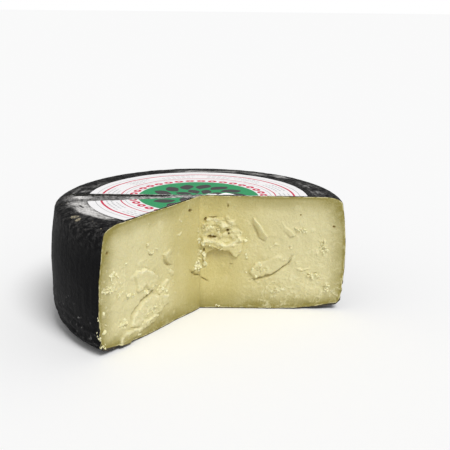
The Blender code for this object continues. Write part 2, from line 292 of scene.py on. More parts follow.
class CutFace:
    """The relief of a cut face at many points, in millimetres: u runs out from the wheel's axis and z up.

    height is how far the paste stands out from the knife's plane, pale how broken and dry it is, with painted
    highlights on edges that face the key light, and deep how much painted shade lies in holes, cracks, gaps
    and under overhangs."""

    def __init__(self, u, z, layer):
        self.u = u
        self.z = z
        self.layer = layer
        self.height = 0.55 * lattice(u / 26.0, z / 26.0, layer) + 0.25 * lattice(u / 9.0, z / 9.0, layer + 1)
        fine = 0.06 * lattice(u / 2.6, z / 2.6, layer + 2)
        self.height += fine + 0.04 * lattice(u / 1.1, z / 1.1, layer + 3)
        self.ragged = 0.6 * lattice(u / 4.5, z / 4.5, layer + 4) + 0.4 * lattice(u / 1.6, z / 1.6, layer + 5)
        self.frayed = 0.6 * lattice(u / 4.1, z / 4.1, layer + 6) + 0.4 * lattice(u / 1.5, z / 1.5, layer + 7)
        self.patchy = smooth(-0.35, 0.45, lattice(u / 3.4, z / 3.0, layer + 8) + 0.5 * self.ragged)
        self.pale = np.zeros(u.shape)
        self.deep = np.zeros(u.shape)

    def oval(self, centre, size, turn, ragged):
        """How far inside a ragged oval each point lies: 1 in its middle, 0 on its outline, less outside."""
        along, over = rotated(self.u - centre[0], self.z - centre[1], math.radians(turn))
        return 1.0 - np.hypot(along / size[0], over / size[1]) + ragged * self.ragged

    def edge_of(self, outline):
        """How many millimetres inside a ragged closed outline each point lies, less than 0 outside it, and
        how far the nearest edge faces up and outwards: 1 at most."""
        u = self.u + OUTLINE_STRAY * self.ragged
        z = self.z + OUTLINE_STRAY * self.frayed
        nearest = np.full(u.shape, 1000.0)
        upward = np.zeros(u.shape)
        within = np.zeros(u.shape, bool)
        for start, end in zip(outline, outline[1:] + outline[:1]):
            across, up, _ = off_line(u, z, start, end)
            apart = np.hypot(across, up)
            closer = apart < nearest
            # The way up and a little outwards is the way to the key light, which the painted highlights and
            # shadows of plate follow.
            upward = np.where(closer, -(0.35 * across + 0.94 * up) / np.maximum(apart, 0.01), upward)
            nearest = np.where(closer, apart, nearest)
            run, rise = end[0] - start[0], end[1] - start[1]
            if rise:
                within ^= ((start[1] > z) != (end[1] > z)) & (u < start[0] + (z - start[1]) * run / rise)
        return np.where(within, nearest, -nearest), np.where(within, upward, -upward)

    def inside(self, outline):
        return self.edge_of(outline)[0]

    def lean(self, outline, towards):
        """Rises from 0 at one side of an outline to 1 at the side that an angle names."""
        way = math.cos(math.radians(towards)), math.sin(math.radians(towards))
        shares = [corner[0] * way[0] + corner[1] * way[1] for corner in outline]
        return smooth(min(shares), max(shares), self.u * way[0] + self.z * way[1])

    def plate(self, outline, height, edge, towards=None):
        """A flake that stands out of the face with a crisp edge, or leans out on one side only."""
        inside, upward = self.edge_of(outline)
        rise = smooth(-edge, edge, inside)
        if towards is not None:
            rise = rise * self.lean(outline, towards)
        self.height += height * rise
        # Painted highlight: a pale lip along the flake's edge, laid only where the edge faces the key light.
        highlit_lip = np.exp(-((inside - 1.2 * edge) / (2.2 * edge)) ** 2) * smooth(-0.1, 0.7, upward)
        self.pale += 1.1 * highlit_lip * rise * (0.25 + 0.75 * self.patchy) + 0.16 * rise
        # Painted shadow: brown shade just outside the edges that face away from the key light.
        under = np.exp(-((inside + 0.9 * edge) / (1.1 * edge)) ** 2) * smooth(0.0, 0.8, -upward)
        self.deep += 0.10 * height * under

    def steps(self, share, height, size, turn, layer=0):
        """Flaky terraces with sharp edges, over a share of the face."""
        along, over = rotated(self.u, self.z, math.radians(turn))
        level = 2.5 * lattice(along / size, over / (0.55 * size), self.layer + 10 + layer)
        level += 0.35 * self.ragged
        whole = np.floor(level)
        part = level - whole
        self.height += share * height * (whole + smooth(0.72, 0.96, part)) / 2.5
        self.pale += share * 0.38 * self.patchy * np.exp(-((part - 0.90) / 0.12) ** 2)

    def torn(self, share, height, size, layer=0):
        """Paste torn into small sharp crests, over a share of the face."""
        own = self.layer + 40 + layer
        coarse = 1.0 - 2.2 * abs(lattice(self.u / size, self.z / size, own))
        fine = 1.0 - 2.2 * abs(lattice(self.u / (0.42 * size), self.z / (0.42 * size), own + 1))
        self.height += share * height * (0.62 * coarse + 0.38 * fine)
        self.pale += share * 0.55 * self.patchy * smooth(0.35, 0.95, 0.6 * coarse + 0.4 * fine)

    def pit(self, centre, size, turn, depth):
        """A small hole that goes down into the paste."""
        inside = self.oval(centre, size, turn, 0.35)
        fall = smooth(-0.05, 0.5, inside)
        self.height -= depth * fall
        # Painted shade: the hole's inside is marked to be painted brown.
        self.deep += smooth(0.05, 0.45, inside)

    def crumble(self, centre, size, turn, height, grain, paleness):
        """A patch where the paste has crumbled into grains."""
        here = smooth(0.0, 0.5, self.oval(centre, size, turn, 0.5))
        lump, kind = grains(self.u / grain, self.z / grain, self.layer + 30)
        fine, own = grains(self.u / (0.45 * grain), self.z / (0.45 * grain), self.layer + 31)
        self.height += here * height * (1.3 * lump * (0.25 + kind) + 0.45 * fine * own - 0.45)
        self.pale += here * paleness * (0.10 + 0.75 * lump * kind + 0.25 * fine * own)
        # Painted shade in the gaps between the grains.
        self.deep += here * 0.45 * smooth(0.32, 0.05, lump) * smooth(0.45, 0.9, kind)

    def crack(self, points, width, depth, darkness=0.8):
        """A crack along a line of points, open in its middle and closed at its ends."""
        total = len(points) - 1
        u = self.u + 0.9 * width * self.ragged
        z = self.z + 0.9 * width * self.frayed
        nearest = np.full(u.shape, 1000.0)
        place = np.zeros(u.shape)
        for number, (start, end) in enumerate(zip(points, points[1:])):
            across, up, share = off_line(u, z, start, end)
            apart = np.hypot(across, up)
            closer = apart < nearest
            nearest = np.where(closer, apart, nearest)
            place = np.where(closer, (number + share) / total, place)
        opening = np.sin(np.pi * np.clip(place, 0.03, 0.97)) ** 0.6
        uneven = 0.55 + 0.45 * lattice(self.u / 3.1, self.z / 2.7, self.layer + 50)
        fall = smooth(width, 0.1 * width, nearest + 0.4 * width * self.frayed) * opening
        self.height -= depth * fall
        # Painted shade: darkness marks the crack's inside to be painted brown.
        self.deep += darkness * fall * uneven

    def ridge(self, points, width, height):
        """A thin raised curl of paste along a line of points."""
        before = self.height.copy()
        self.crack(points, width, height, 0.0)
        risen = before - self.height
        self.height = before + risen
        self.pale += 0.9 * risen / height

    def chips(self, count, low, high, size, height, seed, paleness):
        """Many small flakes and dents of uneven size, shape and turn, over a stretch of the face."""
        draw = np.random.default_rng(seed)
        for _ in range(count):
            centre = draw.uniform(low, high)
            long = size * draw.uniform(0.5, 1.6)
            wide = long * draw.uniform(0.3, 0.8)
            turn = draw.uniform(0.0, math.pi)
            lift = height * draw.uniform(-0.8, 1.0)
            near = (abs(self.u - centre[0]) < 1.5 * long) & (abs(self.z - centre[1]) < 1.5 * long)
            if not near.any():
                continue
            along, over = rotated(self.u[near] - centre[0], self.z[near] - centre[1], turn)
            inside = 1.0 - np.hypot(along / long, over / wide) + 0.35 * self.ragged[near]
            rise = smooth(-0.05, 0.16, inside) * smooth(-0.9, 0.5, along / long)
            self.height[near] += lift * rise
            self.pale[near] += paleness * abs(lift) / height * rise * draw.uniform(0.2, 1.0)


# Outlines on the cut faces, as (out from the axis, up from the underside) in millimetres
SHELL = [(69.6, 44.5), (66.6, 46.6), (62.6, 45.5), (59.7, 45.9), (55.7, 44.3), (50.1, 40.5), (46.9, 37.4),
    (48.2, 34.0), (51.5, 29.6), (55.2, 31.2), (58.6, 35.2), (62.0, 32.6), (66.4, 33.2), (66.8, 37.8)]
SHELL_FOOT = [(51.5, 30.0), (56.7, 30.4), (62.6, 31.0), (67.1, 33.5), (70.0, 29.0), (66.0, 25.6),
    (60.0, 27.6), (55.0, 28.8)]
ROUGH_PLATE = [(51.2, 26.2), (46.5, 24.0), (42.2, 22.8), (35.6, 21.5), (35.6, 15.4), (40.1, 13.9),
    (42.2, 12.4), (50.6, 10.9), (64.6, 8.7), (72.0, 10.8), (70.6, 16.8), (65.6, 20.8), (58.7, 24.0)]
FAN = [(46.9, 27.8), (42.2, 30.5), (36.8, 32.4), (34.2, 30.6), (35.0, 25.6), (37.2, 22.8), (42.2, 22.6),
    (46.0, 24.8)]
CURL = [(28.6, 54.6), (33.7, 52.6), (41.9, 50.4), (40.3, 47.0), (35.8, 42.8), (31.5, 40.7), (31.5, 44.5),
    (34.8, 48.2), (30.5, 50.0)]
LEDGE = [(83.0, 2.0), (81.4, 6.2), (76.2, 9.2), (71.4, 9.2), (64.6, 8.3), (56.7, 10.6), (49.6, 11.8),
    (45.4, 10.6), (50.5, 7.4), (58.0, 6.0), (64.6, 4.6), (70.5, 2.5), (74.0, 0.0), (82.0, -3.0)]
BRIDGE = [(1.5, 52.0), (5.8, 50.4), (8.3, 49.9), (11.8, 49.4), (14.0, 48.2), (17.6, 46.8), (21.0, 47.5),
    (26.0, 52.0), (29.5, 50.5), (28.0, 42.0), (25.0, 37.5), (22.6, 38.4), (20.5, 41.0), (16.9, 42.2),
    (13.3, 42.2), (9.7, 44.0), (5.1, 46.2), (1.0, 45.5)]
ARCH = [(3.0, -6.0), (2.6, 30.0), (4.5, 40.0), (10.0, 43.5), (20.0, 42.5), (24.8, 36.0), (25.8, 22.0),
    (24.8, 8.0), (26.0, -6.0)]
BULGE = [(3.4, 64.0), (6.4, 65.2), (11.0, 65.0), (16.7, 62.6), (19.0, 59.4), (14.4, 58.0), (11.8, 60.2),
    (7.6, 59.8), (3.8, 61.2)]
LONG_FLAKE = [(38.0, 22.5), (44.0, 24.0), (52.0, 28.0), (60.5, 35.0), (59.0, 39.0), (52.0, 38.5),
    (45.0, 34.5), (37.5, 33.0), (34.0, 27.0)]
TALL_CURL = [(36.0, 66.0), (40.5, 61.0), (45.8, 52.8), (44.0, 49.8), (40.6, 51.0), (38.2, 57.4),
    (34.8, 62.6)]
HOOK = [(55.5, 63.5), (58.0, 59.4), (62.5, 57.4), (64.6, 53.8), (61.2, 52.4), (57.6, 55.6), (54.2, 60.4)]


# Crumbled patches on the cut faces, as (middle, reach, turn in degrees, height, grain, paleness)
SLICE_CRUMBLED = (
    ((91.0, 41.6), (7.5, 2.6), 14.0, 2.0, 2.1, 1.2),
    ((82.5, 35.8), (3.2, 1.8), -10.0, 1.5, 1.8, 1.1),
    ((88.6, 50.2), (3.4, 2.4), 20.0, 1.8, 2.0, 1.2),
    ((78.8, 15.0), (4.4, 4.2), -25.0, 2.2, 2.3, 1.2),
    ((70.0, 30.6), (3.2, 1.6), 0.0, 1.3, 1.6, 1.0),
    ((75.0, 33.0), (2.6, 1.8), 30.0, 1.1, 1.6, 0.9),
    ((76.1, 55.0), (1.5, 1.1), 0.0, 1.4, 1.4, 1.3),
    ((56.7, 61.4), (1.6, 1.2), 0.0, 1.4, 1.5, 1.3),
    ((60.0, 46.2), (7.5, 1.2), 4.0, 0.9, 1.5, 0.9),
    ((3.4, 31.6), (5.4, 4.4), 10.0, 2.6, 3.0, 1.1),
    ((1.4, 40.0), (2.0, 6.0), 0.0, 1.8, 2.2, 1.0),
    ((1.2, 56.0), (2.0, 9.0), 0.0, 1.2, 2.2, 0.7),
)
HALF_CRUMBLED_BY_AXIS = (
    ((8.0, 57.0), (5.6, 3.6), 10.0, 1.6, 3.6, 1.0),
    ((24.0, 50.0), (4.0, 5.0), 10.0, 1.1, 3.0, 0.9),
    ((2.4, 59.5), (2.2, 2.6), 0.0, 1.9, 2.4, 0.9),
    ((2.4, 46.0), (2.0, 2.4), 0.0, 2.2, 2.4, 1.2),
    ((2.6, 37.5), (2.0, 3.4), 0.0, 2.2, 2.6, 1.2),
    ((2.8, 30.5), (2.8, 3.0), 0.0, 1.8, 2.6, 1.0),
)
HALF_CRUMBLED_BEYOND = (
    ((68.0, 57.0), (5.0, 2.4), -10.0, 1.8, 2.0, 1.1),
    ((85.0, 45.0), (3.6, 7.0), 15.0, 1.9, 2.1, 1.1),
    ((79.0, 24.0), (6.5, 3.0), -15.0, 1.7, 2.0, 1.1),
    ((88.0, 16.0), (3.0, 4.0), 0.0, 1.6, 2.2, 1.1),
    ((52.0, 13.0), (6.5, 2.4), 10.0, 1.4, 2.0, 1.0),
    ((62.0, 45.0), (2.4, 1.4), 30.0, 1.2, 1.6, 1.2),
)

# Holes in the half's face by the axis, as (middle, reach, turn in degrees, depth)
HALF_PITS = (
    ((7.8, 52.0), (4.3, 1.5), 0.0, 1.5),
    ((9.6, 51.7), (1.8, 1.0), 0.0, 0.8),
    ((18.6, 56.5), (1.4, 1.2), 40.0, 1.7),
    ((19.3, 54.2), (0.8, 1.1), 0.0, 1.2),
    ((3.2, 64.3), (0.9, 1.9), -35.0, 1.2),
    ((2.4, 42.6), (0.8, 1.8), 0.0, 1.8),
)


def shell_flake(face):
    """A shell-shaped flake on its foot, torn inside and crumbly at its lower edge."""
    face.plate(SHELL_FOOT, 0.4, 0.6, 200.0)
    face.plate(SHELL, 1.6, 0.5)
    shell = smooth(0.0, 1.5, face.inside(SHELL))
    face.torn(shell * smooth(42.0, 33.0, face.z), 0.7, 3.4)
    face.torn(shell * smooth(36.0, 44.0, face.z), 0.25, 4.0, 2)
    face.crumble((54.5, 31.0), (6.0, 2.2), -12.0, 1.3, 1.8, 0.8)


def rough_plate(face):
    """A rough plate low down, and a fan of small ridges over its end by the axis."""
    face.plate(ROUGH_PLATE, 1.1, 0.5)
    plate = smooth(-0.5, 1.5, face.inside(ROUGH_PLATE))
    face.steps(plate, 0.6, 5.0, 55.0, 3)
    face.torn(plate * face.patchy, 0.5, 3.3, 4)
    face.plate(FAN, 0.9, 0.4)
    fan = smooth(-0.5, 1.0, face.inside(FAN))
    ray = np.arctan2(face.z - 22.0, face.u - 48.5) * 11.0 + 0.6 * face.ragged
    face.height += 0.45 * fan * np.sin(ray)
    face.pale += 0.75 * fan * smooth(0.1, 0.9, np.sin(ray - 0.5)) * face.patchy


def slice_relief(u, z):
    """The slice's cut face: a shell-shaped flake over a crack and a rough plate, a curl, and crumbly
    patches."""
    face = CutFace(u, z, 101)
    low = smooth(64.0, 46.0, z + 5.0 * face.ragged) * smooth(28.0, 38.0, u + 3.0 * face.frayed)
    face.steps(0.10 + 0.50 * low, 0.5, 10.0, 40.0)
    face.steps(0.10 + 0.35 * low, 0.3, 4.0, -25.0, 1)
    shell_flake(face)
    rough_plate(face)
    face.crack([(50.0, 29.6), (52.1, 27.7), (56.7, 26.5), (61.2, 24.6), (66.6, 21.7), (69.0, 19.3),
                (71.4, 17.6), (72.4, 13.0)], 1.15, 1.9, 0.70)
    face.crack([(47.5, 31.5), (50.0, 29.4), (53.0, 28.6)], 0.9, 1.6, 0.5)
    face.plate(CURL, 2.1, 0.4, 10.0)
    face.crack([(41.5, 46.4), (36.4, 42.0), (31.7, 39.8)], 1.1, 1.2, 0.55)
    face.plate(LEDGE, 1.3, 0.5)
    face.torn(smooth(-0.5, 1.0, face.inside(LEDGE)), 0.7, 2.8, 6)
    face.ridge([(57.4, 57.6), (54.6, 55.0), (52.4, 54.2), (50.6, 55.4)], 1.1, 1.2)
    face.ridge([(50.2, 57.0), (47.4, 56.4), (45.8, 54.0)], 0.9, 0.9)
    face.crack([(57.0, 56.4), (54.0, 53.6), (51.5, 53.0)], 0.7, 0.7, 0.35)
    face.ridge([(77.4, 54.0), (77.6, 46.0), (78.0, 37.0)], 0.5, 0.3)
    face.plate([(29.5, 35.5), (33.2, 38.4), (35.0, 36.4), (32.4, 33.6)], 0.9, 0.35)
    face.ridge([(20.6, 60.4), (23.6, 59.0), (26.6, 59.6)], 0.8, 0.7)
    face.ridge([(24.0, 70.6), (22.4, 68.4), (21.0, 67.4)], 0.9, 0.6)
    for patch in SLICE_CRUMBLED:
        face.crumble(*patch)
    face.crack([(12.4, 31.5), (9.6, 27.8), (6.2, 26.0), (2.6, 25.4), (-1.0, 23.6)], 1.3, 1.8, 1.0)
    face.crack([(6.0, 29.8), (9.0, 27.4), (10.4, 24.8)], 1.0, 1.8, 0.8)
    face.pit((11.2, 72.9), (2.6, 1.2), 15.0, 1.7)
    face.pit((93.0, 65.2), (1.1, 1.0), 0.0, 0.9)
    face.chips(46, (20.0, 4.0), (95.0, 52.0), 2.3, 0.5, 11, 0.40)
    face.chips(26, (8.0, 50.0), (92.0, 76.0), 2.6, 0.28, 12, 0.25)
    face.chips(24, (80.0, 6.0), (97.0, 55.0), 1.2, 0.5, 13, 0.8)
    face.chips(34, (36.0, 6.0), (74.0, 34.0), 1.5, 0.45, 14, 0.45)
    face.height -= 0.8 * smooth(2.5, 0.0, u) * grains(u / 2.4, z / 2.4, 140)[0]
    return face


def arched_hollow(face):
    """The hollow that runs up from the board to an arch, with brown painted shade across its top under the
    bridge.
    """
    hollow = smooth(-0.6, 0.8, face.inside(ARCH)) * smooth(8.0, 40.0, face.z)
    face.height -= 2.8 * hollow * smooth(24.0, 9.0, face.u)
    face.deep += 0.24 * hollow * smooth(31.0, 42.0, face.z) * smooth(27.0, 20.0, face.u)


def broken_middle(face):
    """Broken paste with holes above the hollow, and a bridge of paste between them."""
    broken = smooth(0.0, 0.22, face.oval((13.5, 56.0), (15.5, 10.5), 0.0, 0.35))
    face.steps(broken, 1.2, 6.0, 20.0, 2)
    lump, kind = grains(face.u / 5.4, face.z / 4.2, 240)
    fine, own = grains(face.u / 2.0, face.z / 1.8, 241)
    face.height += broken * (1.7 * lump * kind + 0.2 * fine * own)
    face.pale += broken * (0.10 + 0.65 * lump * kind)
    face.torn(broken * face.patchy, 0.4, 3.6, 3)
    face.plate(BULGE, 0.9, 0.8)
    face.plate(BRIDGE, 2.0, 0.6)
    face.torn(smooth(-0.5, 1.0, face.inside(BRIDGE)), 0.5, 4.4, 5)
    for patch in HALF_CRUMBLED_BY_AXIS:
        face.crumble(*patch)
    for hole in HALF_PITS:
        face.pit(*hole)
    face.crack([(6.0, 65.9), (8.9, 65.7), (11.4, 66.6)], 0.7, 1.5)
    face.crack([(18.2, 72.4), (18.6, 75.8)], 0.6, 1.3)
    face.crack([(-1.0, 24.2), (1.6, 21.6), (5.2, 19.0)], 0.9, 1.6, 1.0)
    face.crack([(19.6, 32.8), (22.6, 32.1)], 0.7, 0.9)


def far_flakes(face):
    """Large flakes and curls over the middle of the face, with cracks beside them."""
    face.plate(LONG_FLAKE, 1.4, 0.5, 150.0)
    flake = smooth(-0.5, 1.5, face.inside(LONG_FLAKE))
    face.torn(flake * face.patchy, 0.6, 3.2, 7)
    face.crack([(34.0, 20.5), (40.0, 21.2), (46.0, 23.0), (53.0, 27.0), (61.0, 34.0), (63.0, 38.0)],
               1.0, 2.2, 0.7)
    face.plate(TALL_CURL, 1.9, 0.4, 30.0)
    face.crack([(33.5, 63.0), (37.4, 57.0), (40.0, 50.6), (44.0, 48.8)], 0.9, 0.9, 0.45)
    face.plate(HOOK, 1.6, 0.4, 20.0)


def half_relief(u, z):
    """The half's cut face: by the axis broken paste with holes, over an arch-shaped hollow, and flakes
    beyond. It swells right beside the slice, to close the corner between them."""
    face = CutFace(u, z, 201)
    beyond = smooth(24.0, 36.0, u + 4.0 * face.ragged) * smooth(72.0, 56.0, z + 4.0 * face.frayed)
    face.steps(0.08 + 0.50 * beyond, 0.5, 10.0, 145.0)
    face.steps(0.08 + 0.35 * beyond, 0.3, 4.0, 30.0, 1)
    arched_hollow(face)
    broken_middle(face)
    far_flakes(face)
    for patch in HALF_CRUMBLED_BEYOND:
        face.crumble(*patch)
    face.ridge([(66.0, 30.0), (71.0, 28.4), (75.0, 29.6)], 1.0, 1.1)
    face.ridge([(48.0, 45.0), (51.0, 47.6), (54.6, 47.0)], 1.0, 1.0)
    face.pit((91.0, 60.0), (1.1, 0.9), 0.0, 1.1)
    face.pit((68.0, 68.0), (0.8, 0.7), 0.0, 0.9)
    face.torn(beyond * smooth(30.0, 16.0, z) * face.patchy, 0.45, 3.4, 9)
    face.chips(64, (28.0, 4.0), (96.0, 62.0), 2.3, 0.5, 21, 0.45)
    face.chips(24, (4.0, 60.0), (94.0, 76.0), 2.4, 0.26, 22, 0.25)
    face.chips(14, (3.0, 4.0), (24.0, 38.0), 1.6, 0.22, 23, 0.3)
    face.height = face.height * smooth(0.0, 2.2, u) + CORNER_SWELL * smooth(1.6, 0.0, u)
    return face


def side_radius(z):
    """The wheel's radius at a height: a bulged side with an oval shoulder above and an oval corner below."""
    from_widest = (z - WIDEST_SHARE * HEIGHT) / (HEIGHT / 2.0)
    above = np.clip(1.0 - (HEIGHT - z) / TOP_SHOULDER_DOWN, 0.0, 1.0)
    below = np.clip(1.0 - (z - UNDERSIDE_RISE) / BOTTOM_CORNER_UP, 0.0, 1.0)
    shoulder = TOP_SHOULDER_IN * (1.0 - np.sqrt(1.0 - above ** 2))
    corner = BOTTOM_CORNER_IN * (1.0 - np.sqrt(1.0 - below ** 2))
    return RADIUS - SIDE_BULGE * from_widest ** 2 - shoulder - corner


def wheel_profile(pitch):
    """The profile from the axis on the top, over the side and back to the axis underneath, as its radii and
    its heights."""
    quarter = np.linspace(0.0, math.pi / 2.0, CORNER_POINTS)
    shoulder = HEIGHT - TOP_SHOULDER_DOWN * (1.0 - np.cos(quarter))
    corner = UNDERSIDE_RISE + BOTTOM_CORNER_UP * (1.0 - np.cos(quarter[::-1]))
    side = np.linspace(shoulder[-1], corner[0], round((shoulder[-1] - corner[0]) / pitch) + 1)[1:-1]
    heights = np.concatenate([shoulder, side, corner])
    fine_top = np.linspace(FINE_TOP_FROM, side_radius(HEIGHT), FINE_TOP_POINTS)[1:-1]
    flat = np.concatenate([np.linspace(0.0, FINE_TOP_FROM, TOP_POINTS), fine_top])
    share = np.linspace(1.0, 0.0, UNDERSIDE_POINTS)[1:]
    under = FLAT_RADIUS + (side_radius(UNDERSIDE_RISE) - FLAT_RADIUS) * share
    radii = np.concatenate([flat, side_radius(heights), under, [0.5 * FLAT_RADIUS, 0.0]])
    level = np.full(len(flat), HEIGHT)
    return radii, np.concatenate([level, heights, UNDERSIDE_RISE * share ** 2, [0.0, 0.0]])


def points_of(mesh):
    places = np.empty(len(mesh.vertices) * 3)
    mesh.vertices.foreach_get("co", places)
    return places.reshape(-1, 3)


def move_points(mesh, places):
    mesh.vertices.foreach_set("co", np.ascontiguousarray(places, dtype=np.float32).ravel())
    mesh.update()


def select_only(piece):
    bpy.ops.object.select_all(action='DESELECT')
    piece.select_set(True)
    bpy.context.view_layer.objects.active = piece


def add(primitive, name, **settings):
    """Adds a primitive with nothing else selected."""
    bpy.ops.object.select_all(action='DESELECT')
    primitive(**settings)
    made = bpy.context.object
    made.name = name
    return made


def grid(name, columns, rows):
    """A flat grid, and for each of its points the column value and the row value that it stands for."""
    made = add(bpy.ops.mesh.primitive_grid_add, name, x_subdivisions=len(columns) - 1,
               y_subdivisions=len(rows) - 1, size=2.0)
    share = (points_of(made.data) + 1.0) / 2.0
    column = np.rint(share[:, 0] * (len(columns) - 1)).astype(int)
    row = np.rint(share[:, 1] * (len(rows) - 1)).astype(int)
    return made, columns[column], rows[row]


def edit(piece, *steps):
    """Runs edit-mode operators on all of a piece's mesh."""
    select_only(piece)
    bpy.ops.object.mode_set(mode='EDIT')
    bpy.ops.mesh.select_all(action='SELECT')
    for operator, settings in steps:
        operator(**settings)
    bpy.ops.object.mode_set(mode='OBJECT')


def thicken(sheet, push):
    """Extrudes a sheet into a closed block, with its faces outwards."""
    edit(sheet, (bpy.ops.mesh.extrude_region_move, {"TRANSFORM_OT_translate": {"value": push}}),
         (bpy.ops.mesh.select_all, {"action": 'SELECT'}),
         (bpy.ops.mesh.normals_make_consistent, {"inside": False}))


def apply_modifier(piece, kind, **settings):
    select_only(piece)
    modifier = piece.modifiers.new(kind.lower(), kind)
    for name, value in settings.items():
        setattr(modifier, name, value)
    bpy.ops.object.modifier_apply(modifier=modifier.name)


def mark(piece, name, values):
    """Stores a number on each point of a piece, for its material to read."""
    stored = piece.data.attributes.new(name, 'FLOAT', 'POINT')
    stored.data.foreach_set("value", values.astype(np.float32))


def finish_piece(piece, smooth_below):
    """Smooths a piece except at its sharp edges, and gives it its body."""
    select_only(piece)
    bpy.ops.object.shade_smooth_by_angle(angle=math.radians(smooth_below))
    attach(piece, BODY)


def carve(piece, cutter, operation='DIFFERENCE'):
    """Cuts a piece with a cutter, whose own material goes on the new faces, and removes the cutter."""
    apply_modifier(piece, 'BOOLEAN', solver='MANIFOLD', object=cutter, operation=operation,
                   material_mode='TRANSFER')
    bpy.data.objects.remove(cutter)


def left_bulge(arc, angle, z):
    """A low step and bulge on the side at the far left."""
    left = smooth(2.55, 2.85, angle) * smooth(3.80, 3.50, angle)
    step = 0.0105 + 0.0012 * lattice(arc / 9.0, 0.0 * arc, 307)
    bulge = 0.9 * smooth(step, step + 0.0015, z) * smooth(0.036, 0.018, z)
    return MM * left * (bulge - 0.6 * smooth(step, 0.0, z))


def side_relief(angle, z, side):
    """How far the rind's side stands out: the solids' dents and basket ridges, fine grain, and low ledges."""
    arc, up = angle * RADIUS / MM, z / MM
    dents = np.zeros(len(z))
    wander = np.zeros(len(z))
    for number in np.flatnonzero(side):
        turned = Vector((RADIUS * math.cos(angle[number]), RADIUS * math.sin(angle[number]), z[number]))
        dents[number] = noise.noise(turned / DENT_LENGTH)
        wander[number] = 1.5 * noise.noise(turned / DENT_LENGTH * 2.0)
    low = smooth(BASKET_REACH, 0.4 * BASKET_REACH, z)
    out = DENT * dents + BASKET_RIDGE * low * np.sin(2.0 * math.pi * z / BASKET_PITCH + wander)
    for height, around, upward, seed in SIDE_GRAIN:
        out += MM * height * lattice(arc / around, up / upward, seed)
    ledge = (up / 4.1 + 0.9 * lattice(arc / 14.0, up / 30.0, 304)) % 1.0
    out += MM * 0.35 * low * (smooth(0.0, 0.8, ledge) - smooth(0.86, 1.0, ledge))
    return out + left_bulge(arc, angle, z)


def rind_relief(places):
    """Moves the points of a smooth wheel to the uneven, leathery rind. Places are about the wheel's axis."""
    across = np.hypot(places[:, 0], places[:, 1])
    z = places[:, 2]
    angle = np.arctan2(places[:, 1], places[:, 0]) % (2.0 * math.pi)
    side = (z > 0.0) & (z < HEIGHT)
    fade = smooth(0.0, 0.004, z) * smooth(HEIGHT, HEIGHT - 0.004, z)
    out = side_relief(angle, z, side)
    grow = 1.0 + np.where(side, fade * out / np.maximum(across, MM), 0.0)
    x, y = places[:, 0] / MM, places[:, 1] / MM
    top = smooth(HEIGHT - 0.006, HEIGHT, z)
    bare = smooth(0.074, 0.079, across)
    pitted = 0.12 * lattice(x / 3.2, y / 3.2, 306) - 0.05
    sink = 0.10 * lattice(x / 8.0, y / 8.0, 305) - 0.10 + bare * pitted
    moved = places.copy()
    moved[:, 0] *= grow
    moved[:, 1] *= grow
    moved[:, 2] += MM * top * sink
    return moved


def wheel(name, sizes, rind):
    """The whole wheel: its profile, extruded point by point, is turned round the axis and made uneven."""
    radii, heights = wheel_profile(sizes.rind_pitch)
    made = add(bpy.ops.mesh.primitive_plane_add, name, size=MM, location=(0.0, 0.0, 0.0))
    steps = [(bpy.ops.mesh.merge, {"type": 'CENTER'}),
             (bpy.ops.transform.translate, {"value": (0.0, 0.0, heights[0])})]
    for across, up in zip(np.diff(radii), np.diff(heights)):
        push = {"value": (across, 0.0, up)}
        steps.append((bpy.ops.mesh.extrude_vertices_move, {"TRANSFORM_OT_translate": push}))
    edit(made, *steps)
    turns = round(2.0 * math.pi * RADIUS / sizes.rind_pitch)
    apply_modifier(made, 'SCREW', steps=turns, render_steps=turns, use_merge_vertices=True,
                   merge_threshold=WELD)
    edit(made, (bpy.ops.mesh.remove_doubles, {"threshold": WELD}),
         (bpy.ops.mesh.normals_make_consistent, {"inside": False}))
    places = rind_relief(points_of(made.data))
    places[:, 1] += AXIS_Y
    move_points(made.data, places)
    made.data.materials.append(rind)
    return made


def slice_face(z):
    """The slice's cut face at some heights: the line out from the axis, and the way out of the paste."""
    angle = SLICE_ANGLE_BOTTOM + (SLICE_ANGLE_TOP - SLICE_ANGLE_BOTTOM) * z / HEIGHT
    along = np.stack([np.cos(angle), np.sin(angle), np.zeros_like(angle)], axis=-1)
    return along, np.stack([-along[..., 1], along[..., 0], np.zeros_like(angle)], axis=-1)


def half_face(z):
    """The half's cut face at some heights: the line out from the axis, and the way out of the paste."""
    along = np.zeros(z.shape + (3,))
    out = np.zeros(z.shape + (3,))
    along[..., 0] = 1.0
    out[..., 1] = -1.0
    return along, out


def relief_block(name, face, relief, sizes, paste):
    """A thick block whose front is a cut face: a grid laid along the face, given its crags and extruded."""
    reach = RADIUS + FACE_MARGIN
    near = np.linspace(0.0, reach, round(reach / sizes.face_pitch))
    levels = round((HEIGHT + 2 * FACE_MARGIN) / sizes.face_pitch)
    rows = np.linspace(-FACE_MARGIN, HEIGHT + FACE_MARGIN, levels)
    block, u, z = grid(name, np.concatenate([[-reach, -RADIUS / 2.0], near]), rows)
    along, out = face(z)
    marks = relief(np.maximum(u, 0.0) / MM, (z - CRAG_LEVEL) / MM)
    height = np.where(u >= 0.0, MM * sizes.crag * marks.height, 0.0)
    if face is half_face:
        height = height - SEAM / 2.0
    places = along * u[:, None] + out * height[:, None]
    places[:, 1] += AXIS_Y
    places[:, 2] += z
    move_points(block.data, places)
    thicken(block, Vector(face(np.array(HEIGHT / 2.0))[1]) * CUTTER_DEPTH)
    block.data.materials.append(paste)
    return block


def seam_block(paste):
    """A box over all that lies behind the seam."""
    reach = RADIUS + FACE_MARGIN
    low = (-reach, AXIS_Y - SEAM / 2.0, -FACE_MARGIN)
    high = (reach, AXIS_Y + reach, HEIGHT + FACE_MARGIN)
    middle = [(low[n] + high[n]) / 2.0 for n in range(3)]
    scale = [high[n] - low[n] for n in range(3)]
    block = add(bpy.ops.mesh.primitive_cube_add, "seam", size=1.0)
    block.data.transform(Matrix.Translation(middle) @ Matrix.Diagonal((*scale, 1.0)))
    block.data.materials.append(paste)
    return block


